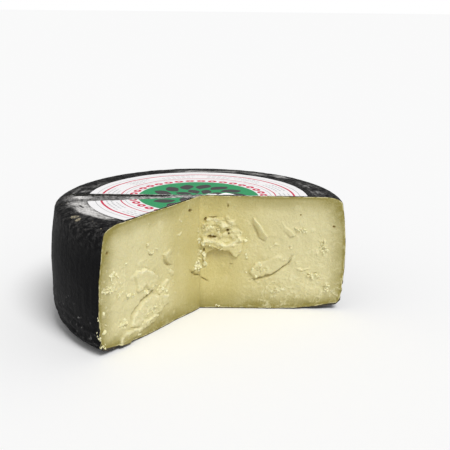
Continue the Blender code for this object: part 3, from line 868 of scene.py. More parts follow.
def strip_block(rind):
    """What came off beside the seam: a block with a rough floor, between the seam and a slanting line."""
    block, x, share = grid("strip", np.linspace(-RADIUS - FACE_MARGIN, STRIP_END_X, STRIP_COLUMNS),
                           np.linspace(0.0, 1.0, STRIP_ROWS))
    stray = STRIP_STRAY * lattice(x / MM / 2.6, 0.0 * x, 501)
    line = (x - STRIP_MEETS_SEAM_X) * math.tan(STRIP_ANGLE) + stray
    y = line + (MM - line) * share
    rough = 0.6 * lattice(x / MM / 2.4, y / MM / 1.6, 502) + 0.4 * lattice(x / MM / 1.0, y / MM / 0.9, 503)
    slope = smooth(0.0, STRIP_SLOPE, y - line) * smooth(STRIP_END_X, STRIP_END_X - STRIP_FADE, x)
    places = np.stack([x, y + AXIS_Y, HEIGHT - slope * (STRIP_DEPTH + STRIP_ROUGH * rough)], axis=1)
    move_points(block.data, places)
    thicken(block, (0.0, 0.0, STRIP_ABOVE))
    block.data.materials.append(rind)
    return block


def mark_paste(piece, face, relief):
    """Marks how deep under the rind a piece's points lie, how broken the paste is there with its painted
    highlights, and how much painted shade of holes, cracks and overhangs lies on them."""
    places = points_of(piece.data) - np.array(AXIS)
    outline = list(zip(*wheel_profile(MARK_PITCH)))
    across = np.hypot(places[:, 0], places[:, 1])
    under = np.full(len(places), 1.0)
    for start, end in zip(outline, outline[1:]):
        off, over, _ = off_line(across, places[:, 2], start, end)
        under = np.minimum(under, np.hypot(off, over))
    along, out = face(places[:, 2])
    u = np.sum(places * along, axis=1)
    near = (u > -MM) & (abs(np.sum(places * out, axis=1)) < MARK_DEPTH)
    marks = relief(np.maximum(u, 0.0) / MM, (places[:, 2] - CRAG_LEVEL) / MM)
    mark(piece, "under_rind", under / MM)
    mark(piece, "broken", np.where(near, marks.pale, 0.0))
    mark(piece, "hole", np.where(near, marks.deep, 0.0))


def math_node(operation, swapped=False):
    """An operator of Value that adds a Math node. Swapped is for a reflected one, such as 1 - mask."""
    def apply(self, other=0.0):
        first, second = (other, self) if swapped else (self, other)
        return self.finish.value("ShaderNodeMath", {"operation": operation}, {0: first, 1: second})
    return apply


class Value:
    """One number, colour or vector in a material, which Python expressions can be written on."""

    def __init__(self, finish, socket):
        self.finish = finish
        self.socket = socket

    __add__ = __radd__ = math_node('ADD')
    __sub__ = math_node('SUBTRACT')
    __rsub__ = math_node('SUBTRACT', swapped=True)
    __mul__ = __rmul__ = math_node('MULTIPLY')
    __truediv__ = math_node('DIVIDE')
    __pow__ = math_node('POWER')
    __gt__ = math_node('GREATER_THAN')
    __abs__ = math_node('ABSOLUTE')
    fraction = math_node('FRACT')
    at_most = math_node('MINIMUM')
    at_least = math_node('MAXIMUM')

    def held(self):
        """The value kept between 0 and 1."""
        return self.at_most(1.0).at_least(0.0)


class Finish:
    """A material and the nodes that it is built from. Places are in millimetres about a middle line."""

    def __init__(self, name, roughness, specular, middle=AXIS):
        self.material = bpy.data.materials.new(name)
        self.material.use_nodes = True
        self.tree = self.material.node_tree
        self.shader = self.tree.nodes["Principled BSDF"]
        self.shader.inputs["Roughness"].default_value = roughness
        self.shader.inputs["Specular IOR Level"].default_value = specular
        here = self.value("ShaderNodeTexCoord", {}, {}, "Object")
        about = self.value("ShaderNodeVectorMath", {"operation": 'SUBTRACT'}, {0: here, 1: middle})
        self.place = self.value("ShaderNodeVectorMath", {"operation": 'SCALE'}, {0: about, "Scale": 1.0 / MM})
        split = self.node("ShaderNodeSeparateXYZ", {}, {0: self.place})
        self.x, self.y, self.z = (Value(self, socket) for socket in split.outputs)
        self.radius = (self.x * self.x + self.y * self.y) ** 0.5
        self.angle = self.value("ShaderNodeMath", {"operation": 'ARCTAN2'}, {0: self.y, 1: self.x})

    def node(self, kind, settings, sockets):
        """Adds a node: its settings come first, then the values or links of its sockets."""
        made = self.tree.nodes.new(kind)
        for name, value in settings.items():
            setattr(made, name, value)
        for name, value in sockets.items():
            self.feed(made.inputs[name], value)
        return made

    def feed(self, socket, value):
        if isinstance(value, Value):
            self.tree.links.new(value.socket, socket)
        elif socket.type == 'RGBA' and len(value) == 3:
            socket.default_value = (*value, 1.0)
        else:
            socket.default_value = value

    def value(self, kind, settings, sockets, output=0):
        return Value(self, self.node(kind, settings, sockets).outputs[output])

    def noise(self, vector, scale, detail=2.0, roughness=0.5):
        """Cloudy values about one half, with scale in humps for each millimetre."""
        return self.value("ShaderNodeTexNoise", {}, {"Vector": vector, "Scale": scale, "Detail": detail,
                                                     "Roughness": roughness})

    def cells(self, vector, scale):
        """How far each place lies from the nearest of many scattered points."""
        return self.value("ShaderNodeTexVoronoi", {}, {"Vector": vector, "Scale": scale})

    def vector(self, x, y, z=0.0):
        return self.value("ShaderNodeCombineXYZ", {}, {0: x, 1: y, 2: z})

    def rise(self, value, low, high):
        """Rises smoothly from 0 at low to 1 at high, also where low is the larger."""
        return self.value("ShaderNodeMapRange", {"interpolation_type": 'SMOOTHSTEP'},
                          {"Value": value, "From Min": low, "From Max": high})

    def band(self, value, middle, width, soft):
        """Is 1 in a band about a middle value and 0 outside it."""
        return self.rise(abs(value - middle), width / 2.0 + soft, width / 2.0 - soft)

    def mix(self, under, over, share):
        """Lays one colour over another."""
        return self.value("ShaderNodeMix", {"data_type": 'RGBA'}, {0: share, 6: under, 7: over}, 2)

    def oval(self, x, y, along, over, turn):
        """Is 1 in the middle of an oval on the top and falls to 0 at its outline. The turn is in degrees."""
        first, second = rotated(self.x - x, self.y - y, math.radians(turn))
        first, second = first / along, second / over
        return self.rise((first * first + second * second) ** 0.5, 1.35, 0.35)

    def attribute(self, name):
        return self.value("ShaderNodeAttribute", {"attribute_name": name}, {}, "Fac")

    def bump(self, height, depth):
        """Feeds the surface's normal from heights whose 1 stands for a depth in metres."""
        bent = self.value("ShaderNodeBump", {}, {"Height": height, "Distance": depth, "Strength": 1.0})
        self.feed(self.shader.inputs["Normal"], bent)

    def colour(self, colour):
        self.feed(self.shader.inputs["Base Color"], colour)

    def let_light_in(self, weight, reach):
        """Lets light a little way into the surface: reach is in metres, for red, green and blue."""
        self.shader.inputs["Subsurface Weight"].default_value = weight
        self.shader.inputs["Subsurface Radius"].default_value = reach
        self.shader.inputs["Subsurface Scale"].default_value = 1.0


def dryness_and_painted_shade(paste, under, cloud, painted_shade):
    """How dark the paste is: dry and darker right under the rind, near the rim and close under the top, and
    darker low down towards the board and most in the low outer corner as painted shade."""
    reach = under + (cloud - 0.5) * 5.0
    edge = 1.0 - (paste.rise(under, 0.2, 3.4) * 0.45 + paste.rise(reach, 1.0, 14.0) * 0.55)
    edge = edge * (1.0 - paste.rise(paste.radius, 44.0, 12.0) * 0.45)
    edge = edge + paste.rise(under, 16.0, 2.0) * paste.rise(paste.radius, 76.0, 94.0) * 0.16
    # Painted shade: darker towards the board, and in the low outer corner.
    edge = edge + paste.rise(paste.z, 24.0, 1.0) * paste.rise(paste.radius, 88.0, 36.0) * 0.50
    edge = edge + painted_shade * 0.42 + paste.rise(paste.z, TOP - 12.0, TOP - 2.0) * 0.10
    edge = edge + paste.rise(paste.z, 52.0, 68.0) * paste.rise(paste.radius, 76.0, 92.0) * 0.26
    return edge.held()


def cut_rind(paste, colour, colours, under):
    """Lays on the rind's thin dark edge where it is cut, with a pale crumbly line inside it in places."""
    frayed = paste.noise(paste.place, 0.35, 2.0)
    low = paste.rise(paste.z, 9.0, 4.0)
    skin = under + frayed * 0.7 - low * (paste.rise(paste.radius, 74.0, 92.0) * 0.80 + 0.28)
    rim = paste.band(skin, 0.85, 0.35, 0.15) * paste.rise(paste.noise(paste.place, 0.20, 2.0), 0.44, 0.56)
    colour = paste.mix(colour, colours.paste_broken, rim * 0.7)
    return paste.mix(colour, SKIN_DARK, paste.rise(skin, 0.62, 0.48))


def seam_rind_and_shade(paste, colour, fleck):
    """Lays black on the top 2 mm of the seam between slice and half: partly the rind's cut edge, partly
    painted shade in the narrow seam.
    """
    seam = paste.rise(paste.z, TOP - 2.6, TOP - 2.1) * paste.rise(paste.x, 0.5, -2.5)
    dark = paste.mix(SEAM_BLACK, SEAM_GREY, paste.rise(fleck, 0.45, 0.70))
    return paste.mix(colour, dark, seam * paste.rise(abs(paste.y), 0.5, 0.3))


def paste_finish(name, colours, middle):
    """Firm paste: darker, yellower painted shade by the wheel's axis, olive under the rind, pale where broken
    with painted highlights, and brown painted shade in holes and cracks.
    """
    paste = Finish(name, 0.55, 0.3)
    under = paste.attribute("under_rind")
    cloud = paste.noise(paste.place, 0.06, 3.0)
    fleck = paste.noise(paste.place, 0.8, 3.0, 0.6)
    # Painted shade over the low outer corner of the cut faces.
    painted_shade = paste.rise(paste.z, 11.0, 2.0) * paste.rise(paste.radius, 58.0, 76.0)
    broken = paste.attribute("broken") * (1.0 - painted_shade * 0.5)
    # Painted shade: darker, yellower paste towards the axis.
    inner = paste.rise(paste.radius + (cloud - 0.5) * 10.0, 66.0, 4.0)
    colour = paste.mix(colours.paste, middle, inner)
    colour = paste.mix(colour, colours.paste_edge, dryness_and_painted_shade(paste, under, cloud, painted_shade))
    tone = (cloud - 0.5) * 0.45 + (fleck - 0.5) * 0.35
    colour = paste.mix(colour, colours.paste_broken, (tone + 0.02).held())
    colour = paste.mix(colour, colours.paste_edge, (0.0 - tone).held() * 0.8)
    speck = paste.rise(paste.cells(paste.place, 0.42), 0.18, 0.06) * paste.rise(cloud, 0.46, 0.60)
    # Broken paste is paler, and this also lays on the painted highlights of lit flake edges.
    colour = paste.mix(colour, colours.paste_broken, (broken * 0.85 + speck * 0.30).held())
    colour = cut_rind(paste, colour, colours, under)
    # Painted shade: brown in holes, cracks, gaps between grains, under overhangs and under the bridge.
    colour = paste.mix(colour, colours.hole_shade, (paste.attribute("hole") * 0.9).held())
    paste.colour(seam_rind_and_shade(paste, colour, fleck))
    fine = paste.noise(paste.place, 1.9, 2.0) * (0.30 + broken * 0.6)
    paste.bump(paste.noise(paste.place, 0.55, 4.0, 0.62) + fine, 0.0006)
    paste.let_light_in(0.10, (0.0022, 0.0015, 0.0007))
    return paste.material


# Pale powder on the top's rind, as (x, y, reach, reach across, turn in degrees, strength) in millimetres
POWDER = (
    (-70.5, -38.0, 15.0, 7.5, -62.0, 1.00),
    (-60.0, -52.0, 15.0, 4.6, -42.0, 1.00),
    (-76.5, -21.0, 9.0, 8.0, -75.0, 0.85),
    (-50.0, -60.0, 9.0, 2.6, -35.0, 0.36),
    (-78.5, -5.5, 7.6, 4.4, 12.0, 1.15),
    (-86.0, 4.0, 6.0, 12.0, 0.0, 0.24),
    (-82.0, -26.0, 6.0, 10.0, 10.0, 0.30),
    (-77.0, 8.0, 6.0, 5.0, 20.0, 0.52),
    (-72.0, 26.0, 10.0, 3.6, 62.0, 0.48),
    (-82.0, 20.0, 12.0, 8.0, 60.0, 0.22),
    (-6.0, 76.0, 20.0, 4.0, 0.0, 0.76),
    (24.0, 75.0, 15.0, 5.0, -16.0, 0.50),
    (42.0, 68.0, 11.0, 5.0, -32.0, 0.52),
    (57.0, 60.0, 9.0, 4.6, -44.0, 0.70),
    (75.0, 35.0, 12.0, 8.0, -64.0, 0.42),
    (79.0, 9.0, 11.0, 7.0, -84.0, 0.44),
)

# Dark slits and rubbed places in the powder, as (x, y, reach, reach across, turn in degrees)
SLITS = (
    (-76.5, -1.4, 3.2, 1.1, 10.0),
    (-81.0, -13.4, 9.0, 1.3, 8.0),
    (-76.0, -20.0, 5.2, 0.8, 24.0),
    (-84.5, -17.0, 2.0, 1.2, -20.0),
    (-74.0, -32.0, 4.5, 0.9, -58.0),
)

# Bits of paste stuck on the shoulder over the slice, as (x, y, reach, reach across, turn in degrees)
FLECKS = (
    (-74.2, -52.5, 4.0, 2.4, -25.0),
    (-71.0, -58.0, 2.4, 2.4, 0.0),
)


def top_powder(rind, arc, level, mottle, grainy):
    """How thick the pale powder lies round the label. It is swept round the wheel and has dark slits."""
    dusted = 0.0
    for x, y, along, over, turn, strength in POWDER:
        dusted = rind.oval(x, y, along, over, turn) * strength + dusted
    bared = 0.0
    for slit in SLITS:
        bared = rind.oval(*slit) + bared
    swept = rind.noise(rind.vector(arc * 0.055, rind.radius * 0.46, rind.z * 0.2), 1.0, 5.0, 0.70)
    patchy = swept * 0.55 + mottle * 0.45
    clouds = rind.noise(rind.place, 0.13, 4.0, 0.65)
    crown = rind.rise(level, TOP - 4.2, TOP - 0.7) * rind.rise(rind.x, -94.0, -85.0)
    powder = rind.rise(dusted * (clouds + 0.45) + (patchy - 0.5) * 2.7, 0.16, 1.28) * crown
    return powder * (1.0 - bared).held() * (1.10 - grainy * 0.50)


def bare_strip(rind, grainy):
    """How pale the bare strip beside the seam on the slice's top is: streaked, and black at its far left."""
    below = (rind.x - STRIP_MEETS_SEAM_X / MM) * math.sin(STRIP_ANGLE) - rind.y * math.cos(STRIP_ANGLE)
    on_top = rind.rise(rind.z, TOP - 4.0, TOP - 2.0)
    strip = rind.rise(below, 0.6, -0.2) * rind.rise(rind.y, 0.3, -0.1) * on_top
    stripe = rind.noise(rind.vector(rind.x * 0.30, rind.y * 0.55), 1.0, 5.0, 0.70)
    bare = rind.rise(stripe, 0.36, 0.62) * strip * (1.12 - grainy * 0.60)
    kept = rind.rise(rind.y, -20.0, -12.0) * rind.rise(rind.x, -94.0, -84.0)
    return bare * (rind.rise(rind.x, -54.0, -44.0) * 0.46 + kept * 0.36)


def scuffs(rind, cloud):
    """How pale the scuffs and specks low on the side are."""
    scuffed = rind.noise(rind.place, 0.26, 5.0, 0.70)
    low = rind.rise(rind.z, 34.0, 8.0) * rind.rise(scuffed, 0.56, 0.70)
    specks = rind.rise(rind.noise(rind.place, 0.34, 3.0, 0.6), 0.64, 0.74) * rind.rise(rind.z, 44.0, 20.0)
    return low * 0.17 + specks * rind.rise(cloud, 0.44, 0.58) * 0.38


def stuck_paste(rind, cloud):
    """Is 1 on bits of paste that stick to the shoulder."""
    fleck = rind.rise(rind.noise(rind.place, 0.42, 2.0, 0.6), 0.66, 0.72) * rind.rise(rind.radius, 82.0, 88.0)
    fleck = fleck * rind.rise(cloud, 0.52, 0.60)
    crumbly = (rind.noise(rind.place, 0.9, 4.0, 0.7) - 0.5) * 4.0
    for spot in FLECKS:
        fleck = rind.rise(rind.oval(*spot) * 1.2 + crumbly, 0.75, 1.20) + fleck
    return fleck.held() * rind.rise(rind.z, TOP - 9.0, TOP - 4.0)


def rind_finish(name, colours):
    """The black coat: streaked up the side, powdery round the label and scuffed low down."""
    rind = Finish(name, 0.68, 0.08)
    arc = rind.angle * (RADIUS / MM)
    cloud = rind.noise(rind.place, 0.07, 4.0)
    streak = rind.noise(rind.vector(arc * 0.42, rind.z * 0.022, rind.radius * 0.02), 1.0, 3.0)
    upright = rind.rise(rind.z, TOP - 2.0, TOP - 12.0)
    worn = (rind.rise(streak, 0.45, 0.80) * 0.30 + rind.rise(cloud, 0.48, 0.75) * 0.20) * upright
    mottle = rind.noise(rind.place, 0.20, 5.0, 0.68)
    grainy = rind.rise(rind.noise(rind.place, 0.75, 3.0, 0.65), 0.49, 0.63)
    rubbed = rind.rise(rind.noise(rind.place, 0.34, 5.0, 0.7), 0.44, 0.66)
    level = rind.z + (rind.noise(rind.place, 0.16, 3.0, 0.65) - 0.5) * 9.0
    flat = rind.rise(level, TOP - 7.5, TOP - 0.8)
    dull = worn + flat * (rubbed * 1.1 + mottle * 0.5 - 0.25)
    haze = rind.rise(level, TOP - 20.0, TOP - 4.0) * rubbed * 0.045
    powder = top_powder(rind, arc, level, mottle, grainy) * (0.72 + rubbed * 0.28)
    pale = (powder + bare_strip(rind, grainy) + haze + scuffs(rind, cloud)).held()
    colour = rind.mix(colours.rind, colours.rind_worn, dull.held())
    colour = rind.mix(colour, colours.powder, pale)
    rind.colour(rind.mix(colour, STUCK_PASTE, stuck_paste(rind, cloud) * 0.6))
    rind.feed(rind.shader.inputs["Roughness"], 0.60 + pale * 0.3 + mottle * 0.10)
    leather = rind.noise(rind.place, 0.45, 4.0, 0.6) + rind.noise(rind.place, 1.5, 2.0) * 0.35
    rind.bump(leather + streak * 0.4, 0.0005)
    return rind.material


# The label's printed rings, as (radius, width, softness of the edges) in millimetres
GREY_RINGS = ((68.3, 0.55, 0.15), (49.0, 0.45, 0.12))
DASHED_RINGS = ((61.2, 1.1, 0.2), (58.3, 1.1, 0.2), (55.4, 1.1, 0.2))
RED_RINGS = ((64.5, 1.45, 0.15), (52.0, 0.85, 0.12))
BEAD_RING = 44.0
BEADS = 34.0
DASHES = 96.0
GREEN_RADIUS = 40.4

# Rings of petals on the green, as (how many, inner radius, outer radius, lean), and the radius of the dot in
# their middle
PETAL_RINGS = ((14.0, 18.5, 33.0, 0.35), (9.0, 5.5, 18.0, -0.30))
ROSETTE_MIDDLE = 4.2


def rings(label, r, sizes):
    """Is 1 on a few concentric rings."""
    on = 0.0
    for middle, width, soft in sizes:
        on = label.band(r, middle, width, soft) + on
    return on


def bead_ring(label, r, turn):
    """A ring of oval beads with open middles."""
    across = ((turn * BEADS).fraction() - 0.5) * (BEAD_RING * 2.0 * math.pi / BEADS)
    along = r - BEAD_RING
    apart = (across * across * 0.62 + along * along) ** 0.5
    return label.rise(apart, 2.75, 2.45) * label.rise(apart, 0.70, 1.05)


def petal_ring(label, r, turn, count, inner, outer, lean):
    """A ring of pointed petals that lean round the label."""
    share = (r - inner) / (outer - inner)
    cell = (turn * count + share * lean).fraction() - 0.5
    bulge = (share * (1.0 - share)).held() * 1.75
    return label.rise(bulge - abs(cell), -0.02, 0.03) * label.band(share, 0.5, 0.98, 0.01)


def label_finish(name, colours):
    """Printed paper: red and grey rings, a ring of red beads, and a dark rosette on a green middle."""
    label = Finish(name, 0.55, 0.25, LABEL_MIDDLE)
    wobble = (label.noise(label.place, 0.5, 2.0) - 0.5) * 0.25
    r = label.radius + wobble
    turn = label.angle / (2.0 * math.pi)
    soiled = label.rise(label.noise(label.place, 0.05, 4.0), 0.5, 0.8) * 0.18
    colour = label.mix(colours.paper, SOILED_PAPER, soiled)
    colour = label.mix(colour, GREY_INK, rings(label, r, GREY_RINGS).held() * 0.70)
    gaps = label.rise(label.noise(label.vector(turn * 22.0, r * 0.05), 1.0), 0.42, 0.50)
    dashes = ((turn * DASHES).fraction() > 0.30) * gaps
    colour = label.mix(colour, GREY_INK, (rings(label, r, DASHED_RINGS) * dashes).held() * 0.60)
    red = rings(label, r, RED_RINGS) + bead_ring(label, r, turn)
    colour = label.mix(colour, colours.red, red.held())
    ink = label.mix(colours.green, LIGHT_GREEN_INK, label.noise(label.place, 0.3, 3.0) * 0.5)
    petals = label.rise(r, ROSETTE_MIDDLE + 0.3, ROSETTE_MIDDLE - 0.3)
    for ring in PETAL_RINGS:
        petals = petals + petal_ring(label, r, turn, *ring)
    ink = label.mix(ink, colours.charcoal, petals.held())
    colour = label.mix(colour, ink, label.rise(r, GREEN_RADIUS + 0.3, GREEN_RADIUS - 0.3))
    rubbed = label.rise(label.noise(label.place, 0.30, 5.0, 0.72), 0.60, 0.70) * label.rise(r, 26.0, 6.0)
    colour = label.mix(colour, RUBBED_INK, rubbed * 0.45)
    torn = label.attribute("torn")
    colour = label.mix(colour, colours.paper, label.rise(torn + wobble * 1.2, 0.45, 0.6))
    dust = label.rise(label.noise(label.place, 0.35, 5.0, 0.7), 0.62, 0.80) * 0.12
    label.colour(label.mix(colour, PAPER_DUST, dust * label.rise(r, 40.0, 74.0)))
    label.bump(label.noise(label.place, 0.25, 3.0) + label.noise(label.place, 1.6, 2.0) * 0.15, 0.0003)
    return label.material


def crumb_finish(name, colours):
    """Dry crumbs, paler than the paste that they broke from."""
    crumb = Finish(name, 0.6, 0.3)
    tone = crumb.noise(crumb.place, 0.5, 3.0)
    crumb.colour(crumb.mix(colours.paste, colours.paste_broken, crumb.rise(tone, 0.30, 0.45)))
    crumb.bump(crumb.noise(crumb.place, 1.6, 3.0), 0.0004)
    crumb.let_light_in(0.15, (0.0020, 0.0014, 0.0006))
    return crumb.material


def crumb_kinds(count):
    """A few angular crumbs about 1 mm across, modelled from a ball, every second one a curved flake."""
    kinds = []
    for number in range(count):
        ball = add(bpy.ops.mesh.primitive_ico_sphere_add, f"crumb kind {number}", subdivisions=2, radius=1.0)
        places = points_of(ball.data)
        rough = np.array([noise.noise(Vector(place) * 0.9 + Vector((number * 7.0, 0.0, 0.0))) +
                          0.7 * noise.noise(Vector(place) * 2.3 + Vector((0.0, number * 5.0, 0.0)))
                          for place in places])
        places *= (1.0 + 0.85 * rough)[:, None] * np.array([1.12, 0.92, 0.72])
        if number % 2:
            places *= np.array([1.2, 1.05, 0.60])
            places[:, 2] += 0.25 * places[:, 0] ** 2 - 0.15
        move_points(ball.data, places)
        kinds.append(ball)
    return kinds


# Where crumbs stick: the side, the middle of the place on its cut face as (out from the axis, up), its reach,
# its turn in degrees and how many crumbs there are, with lengths in millimetres. On the rind at the slice's
# corner the first number is how far behind the face they lie.
CRUMB_PLACES = (
    ("slice", (91.0, 41.6), (5.0, 1.7), 14.0, 22),
    ("slice", (88.6, 50.4), (2.0, 1.5), 20.0, 9),
    ("slice", (82.5, 35.9), (2.4, 1.0), -10.0, 8),
    ("slice", (85.0, 45.0), (4.0, 4.0), 0.0, 8),
    ("slice", (79.0, 15.2), (2.6, 2.8), -30.0, 16),
    ("slice", (76.1, 55.0), (0.5, 0.4), 0.0, 3),
    ("slice", (56.7, 61.4), (0.6, 0.5), 0.0, 4),
    ("slice", (69.5, 31.0), (1.6, 0.9), 0.0, 5),
    ("slice", (75.0, 33.4), (1.4, 1.0), 0.0, 4),
    ("slice", (55.0, 31.2), (4.0, 1.2), -10.0, 10),
    ("slice", (40.5, 26.6), (4.0, 2.6), 40.0, 12),
    ("slice", (52.0, 17.0), (11.0, 4.0), 8.0, 16),
    ("slice", (61.0, 9.6), (8.0, 0.9), -6.0, 8),
    ("slice", (4.0, 32.0), (3.2, 3.0), 0.0, 16),
    ("slice", (1.2, 50.0), (0.9, 10.0), 0.0, 10),
    ("slice", (95.4, 24.0), (0.7, 12.0), 0.0, 4),
    ("slice", (94.6, 6.0), (1.2, 1.4), 0.0, 4),
    ("corner", (0.6, 26.0), (0.3, 1.2), 0.0, 3),
    ("corner", (1.9, 15.5), (0.4, 1.8), 0.0, 4),
    ("corner", (0.6, 12.0), (0.3, 1.0), 0.0, 3),
    ("corner", (0.7, 6.6), (0.6, 1.0), 0.0, 6),
    ("half", (12.0, 56.0), (8.0, 6.0), 0.0, 9),
    ("half", (12.0, 44.0), (7.0, 1.5), -20.0, 5),
    ("half", (2.4, 46.6), (0.9, 1.0), 0.0, 5),
    ("half", (2.6, 38.0), (0.9, 2.4), 0.0, 8),
    ("half", (3.0, 31.6), (1.4, 1.6), 0.0, 6),
    ("half", (31.0, 44.0), (2.0, 7.0), 15.0, 4),
    ("half", (68.0, 57.0), (4.0, 1.4), -10.0, 10),
    ("half", (85.0, 45.0), (2.2, 6.0), 15.0, 16),
    ("half", (79.0, 24.0), (5.0, 1.6), -15.0, 12),
    ("half", (88.0, 16.0), (1.6, 3.0), 0.0, 9),
    ("half", (52.0, 13.0), (5.0, 1.4), 10.0, 9),
    ("half", (40.0, 28.0), (6.0, 3.0), 30.0, 8),
    ("half", (12.2, 1.2), (1.2, 0.5), 0.0, 4),
    ("slice", (67.0, 3.4), (7.0, 0.5), 5.0, 5),
)


class PECORINO_OT_half(bpy.types.Operator):
    """Models the half wheel behind the cut"""
    bl_idname = "pecorino.half"
    bl_label = "Half wheel"

    def execute(self, context):
        sizes = context.scene.pecorino_sizes
        half = wheel("wheel_half", sizes, bpy.data.materials["black rind"])
        paste = bpy.data.materials["half paste"]
        carve(half, relief_block("half face", half_face, half_relief, sizes, paste))
        mark_paste(half, half_face, half_relief)
        finish_piece(half, SMOOTH_CHEESE)
        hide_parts("cheese_half")
        return {'FINISHED'}


class PECORINO_OT_slice(bpy.types.Operator):
    """Models the slice that still stands against the half"""
    bl_idname = "pecorino.slice"
    bl_label = "Slice"

    def execute(self, context):
        sizes = context.scene.pecorino_sizes
        rind = bpy.data.materials["black rind"]
        paste = bpy.data.materials["slice paste"]
        piece = wheel("wheel_slice", sizes, rind)
        carve(piece, seam_block(paste))
        carve(piece, strip_block(rind))
        carve(piece, relief_block("slice face", slice_face, slice_relief, sizes, paste))
        mark_paste(piece, slice_face, slice_relief)
        finish_piece(piece, SMOOTH_CHEESE)
        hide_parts("cheese_slice")
        return {'FINISHED'}


def paper_level(x, y):
    """Height of the paper's underside over the wheel's flat top, with every length in millimetres."""
    return 0.10 * lattice(x / 8.0, y / 8.0, 305) + 0.01 + 0.03 * lattice(x / 3.0, y / 3.0, 410)


def flap(x):
    """How far the paper stands over the half's cut before it is rolled back, from 0 to 1."""
    uneven = 1.0 + 0.10 * lattice(x / 4.0, 0.0 * x, 420) + 0.10 * lattice(x / 1.7, 0.0 * x, 421)
    small = 0.42 * smooth(2.6, 5.6, x) * smooth(13.6, 9.0, x)
    large = 0.90 * smooth(10.2, 16.5, x) * smooth(26.0, 17.5, x)
    return np.maximum(small, large) * uneven


def label_sheet(name, sizes):
    """A round sheet of paper on the wheel's top: a grid, finer by the cut, given thickness and cut round."""
    reach = sizes.label_radius / MM + PAPER_MARGIN
    rows = [np.linspace(-reach, -3.0, PAPER_ROWS), np.linspace(-2.8, 3.2, PAPER_FINE_ROWS),
            np.linspace(3.4, reach, PAPER_ROWS)]
    sheet, x, y = grid(name, np.linspace(-reach, reach, PAPER_COLUMNS), np.concatenate(rows))
    places = MM * np.stack([x, y, paper_level(x, y)], axis=1) + np.array([0.0, AXIS_Y, HEIGHT])
    move_points(sheet.data, places)
    apply_modifier(sheet, 'SOLIDIFY', thickness=sizes.paper, offset=1.0)
    round_cut = add(bpy.ops.mesh.primitive_cylinder_add, "round cut", vertices=ROUND_CUT_SIDES,
                    radius=sizes.label_radius, depth=ROUND_CUT_HEIGHT)
    round_cut.data.transform(Matrix.Translation(LABEL_MIDDLE + Vector((0.0, 0.0, HEIGHT))))
    carve(sheet, round_cut, 'INTERSECT')
    sheet.data.materials.clear()
    sheet.data.materials.append(bpy.data.materials["printed paper"])
    return sheet


def paper_knife(name, turn, pivot, layer, back=0.55, overhang=0.0):
    """A block that cuts paper along a ragged line, and takes away what lies to the right of its direction.
    Back is how far the paper ends behind the line, and overhang how far its flap stands over it."""
    reach = 2.2 * RADIUS
    knife = add(bpy.ops.mesh.primitive_grid_add, name, x_subdivisions=KNIFE_COLUMNS, y_subdivisions=1,
                size=2.0)
    places = points_of(knife.data)
    along = places[:, 0] * reach
    x = along / MM
    ragged = back + 0.28 * lattice(x / 2.2, 0.0 * x, layer) + 0.30 * lattice(x / 9.0, 0.0 * x, layer + 20)
    ragged += 0.16 * lattice(x / 0.9, 0.0 * x, layer + 40) - overhang * flap(x)
    move_points(knife.data, np.stack([along, MM * ragged, KNIFE_HALF_HEIGHT * places[:, 1]], axis=1))
    thicken(knife, (0.0, -reach, 0.0))
    knife.data.transform(Matrix.Translation((pivot[0], pivot[1], HEIGHT)) @ Matrix.Rotation(turn, 4, 'Z'))
    return knife


def roll_paper(paper, roll):
    """Rolls the half's paper back along the cut, where its white underside then faces the front."""
    places = points_of(paper.data)
    x, y = places[:, 0] / MM, (places[:, 1] - AXIS_Y) / MM
    level = paper_level(x, y)
    above = (places[:, 2] - HEIGHT) / MM - level
    radius = roll / MM * (0.20 + 1.15 * flap(x))
    lifted = smooth(0.0, 0.4, flap(x))
    fold = 0.25 + 0.9 * lifted + 0.30 * lattice(x / 2.3, 0.0 * x, 422) * lifted
    turned = np.clip((fold - y) / radius, 0.0, ROLL_TURN) * smooth(0.0, 0.3, flap(x))
    inner = radius - above
    rolled = turned > 0.0
    y = np.where(rolled, fold - inner * np.sin(turned), y)
    rise = np.where(rolled, level + radius - inner * np.cos(turned), level + above)
    move_points(paper.data, MM * np.stack([x, y, rise], axis=1) + np.array([0.0, AXIS_Y, HEIGHT]))


def mark_torn(paper, off):
    """Marks the paper's underside and its torn edges, which show white. Off is how far a place lies from a
    cut."""
    places = points_of(paper.data)
    x, y = places[:, 0] / MM, (places[:, 1] - AXIS_Y) / MM
    above = (places[:, 2] - HEIGHT) / MM - paper_level(x, y)
    edge = smooth(0.75, 0.35, off(x, y) + 0.25 * lattice(x, y, 430))
    mark(paper, "torn", np.maximum(smooth(0.12, 0.04, above), 0.8 * edge))


class PECORINO_OT_label(bpy.types.Operator):
    """Makes the paper label's two pieces"""
    bl_idname = "pecorino.label"
    bl_label = "Label"

    def execute(self, context):
        sizes = context.scene.pecorino_sizes
        half = label_sheet("label_paper_half", sizes)
        carve(half, paper_knife("half cut", 0.0, (0.0, AXIS_Y), 401, overhang=OVERHANG))
        mark_torn(half, lambda x, y: y + OVERHANG * flap(x))
        roll_paper(half, sizes.curl)
        finish_piece(half, SMOOTH_PAPER)
        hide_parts("label_half")
        piece = label_sheet("label_paper_slice", sizes)
        carve(piece, paper_knife("strip cut", STRIP_ANGLE + math.pi, (STRIP_MEETS_SEAM_X, AXIS_Y), 402))
        carve(piece, paper_knife("slice cut", SLICE_ANGLE_TOP + math.pi, (0.0, AXIS_Y), 403, 1.05))
        mark_torn(piece, lambda x, y: x * math.sin(SLICE_ANGLE_TOP) - y * math.cos(SLICE_ANGLE_TOP))
        finish_piece(piece, SMOOTH_PAPER)
        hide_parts("label_slice")
        return {'FINISHED'}


def copy_crumb(kind, spot, out, size, tilt):
    """A copy of a crumb at a spot, with its flat side on a face that looks out."""
    copy = kind.copy()
    copy.data = kind.data.copy()
    lie = out.to_track_quat('Z', 'Y').to_matrix()
    copy.data.transform(Matrix.LocRotScale(spot, (lie @ tilt).to_quaternion(), Vector((size,) * 3)))
    bpy.context.scene.collection.objects.link(copy)
    return copy


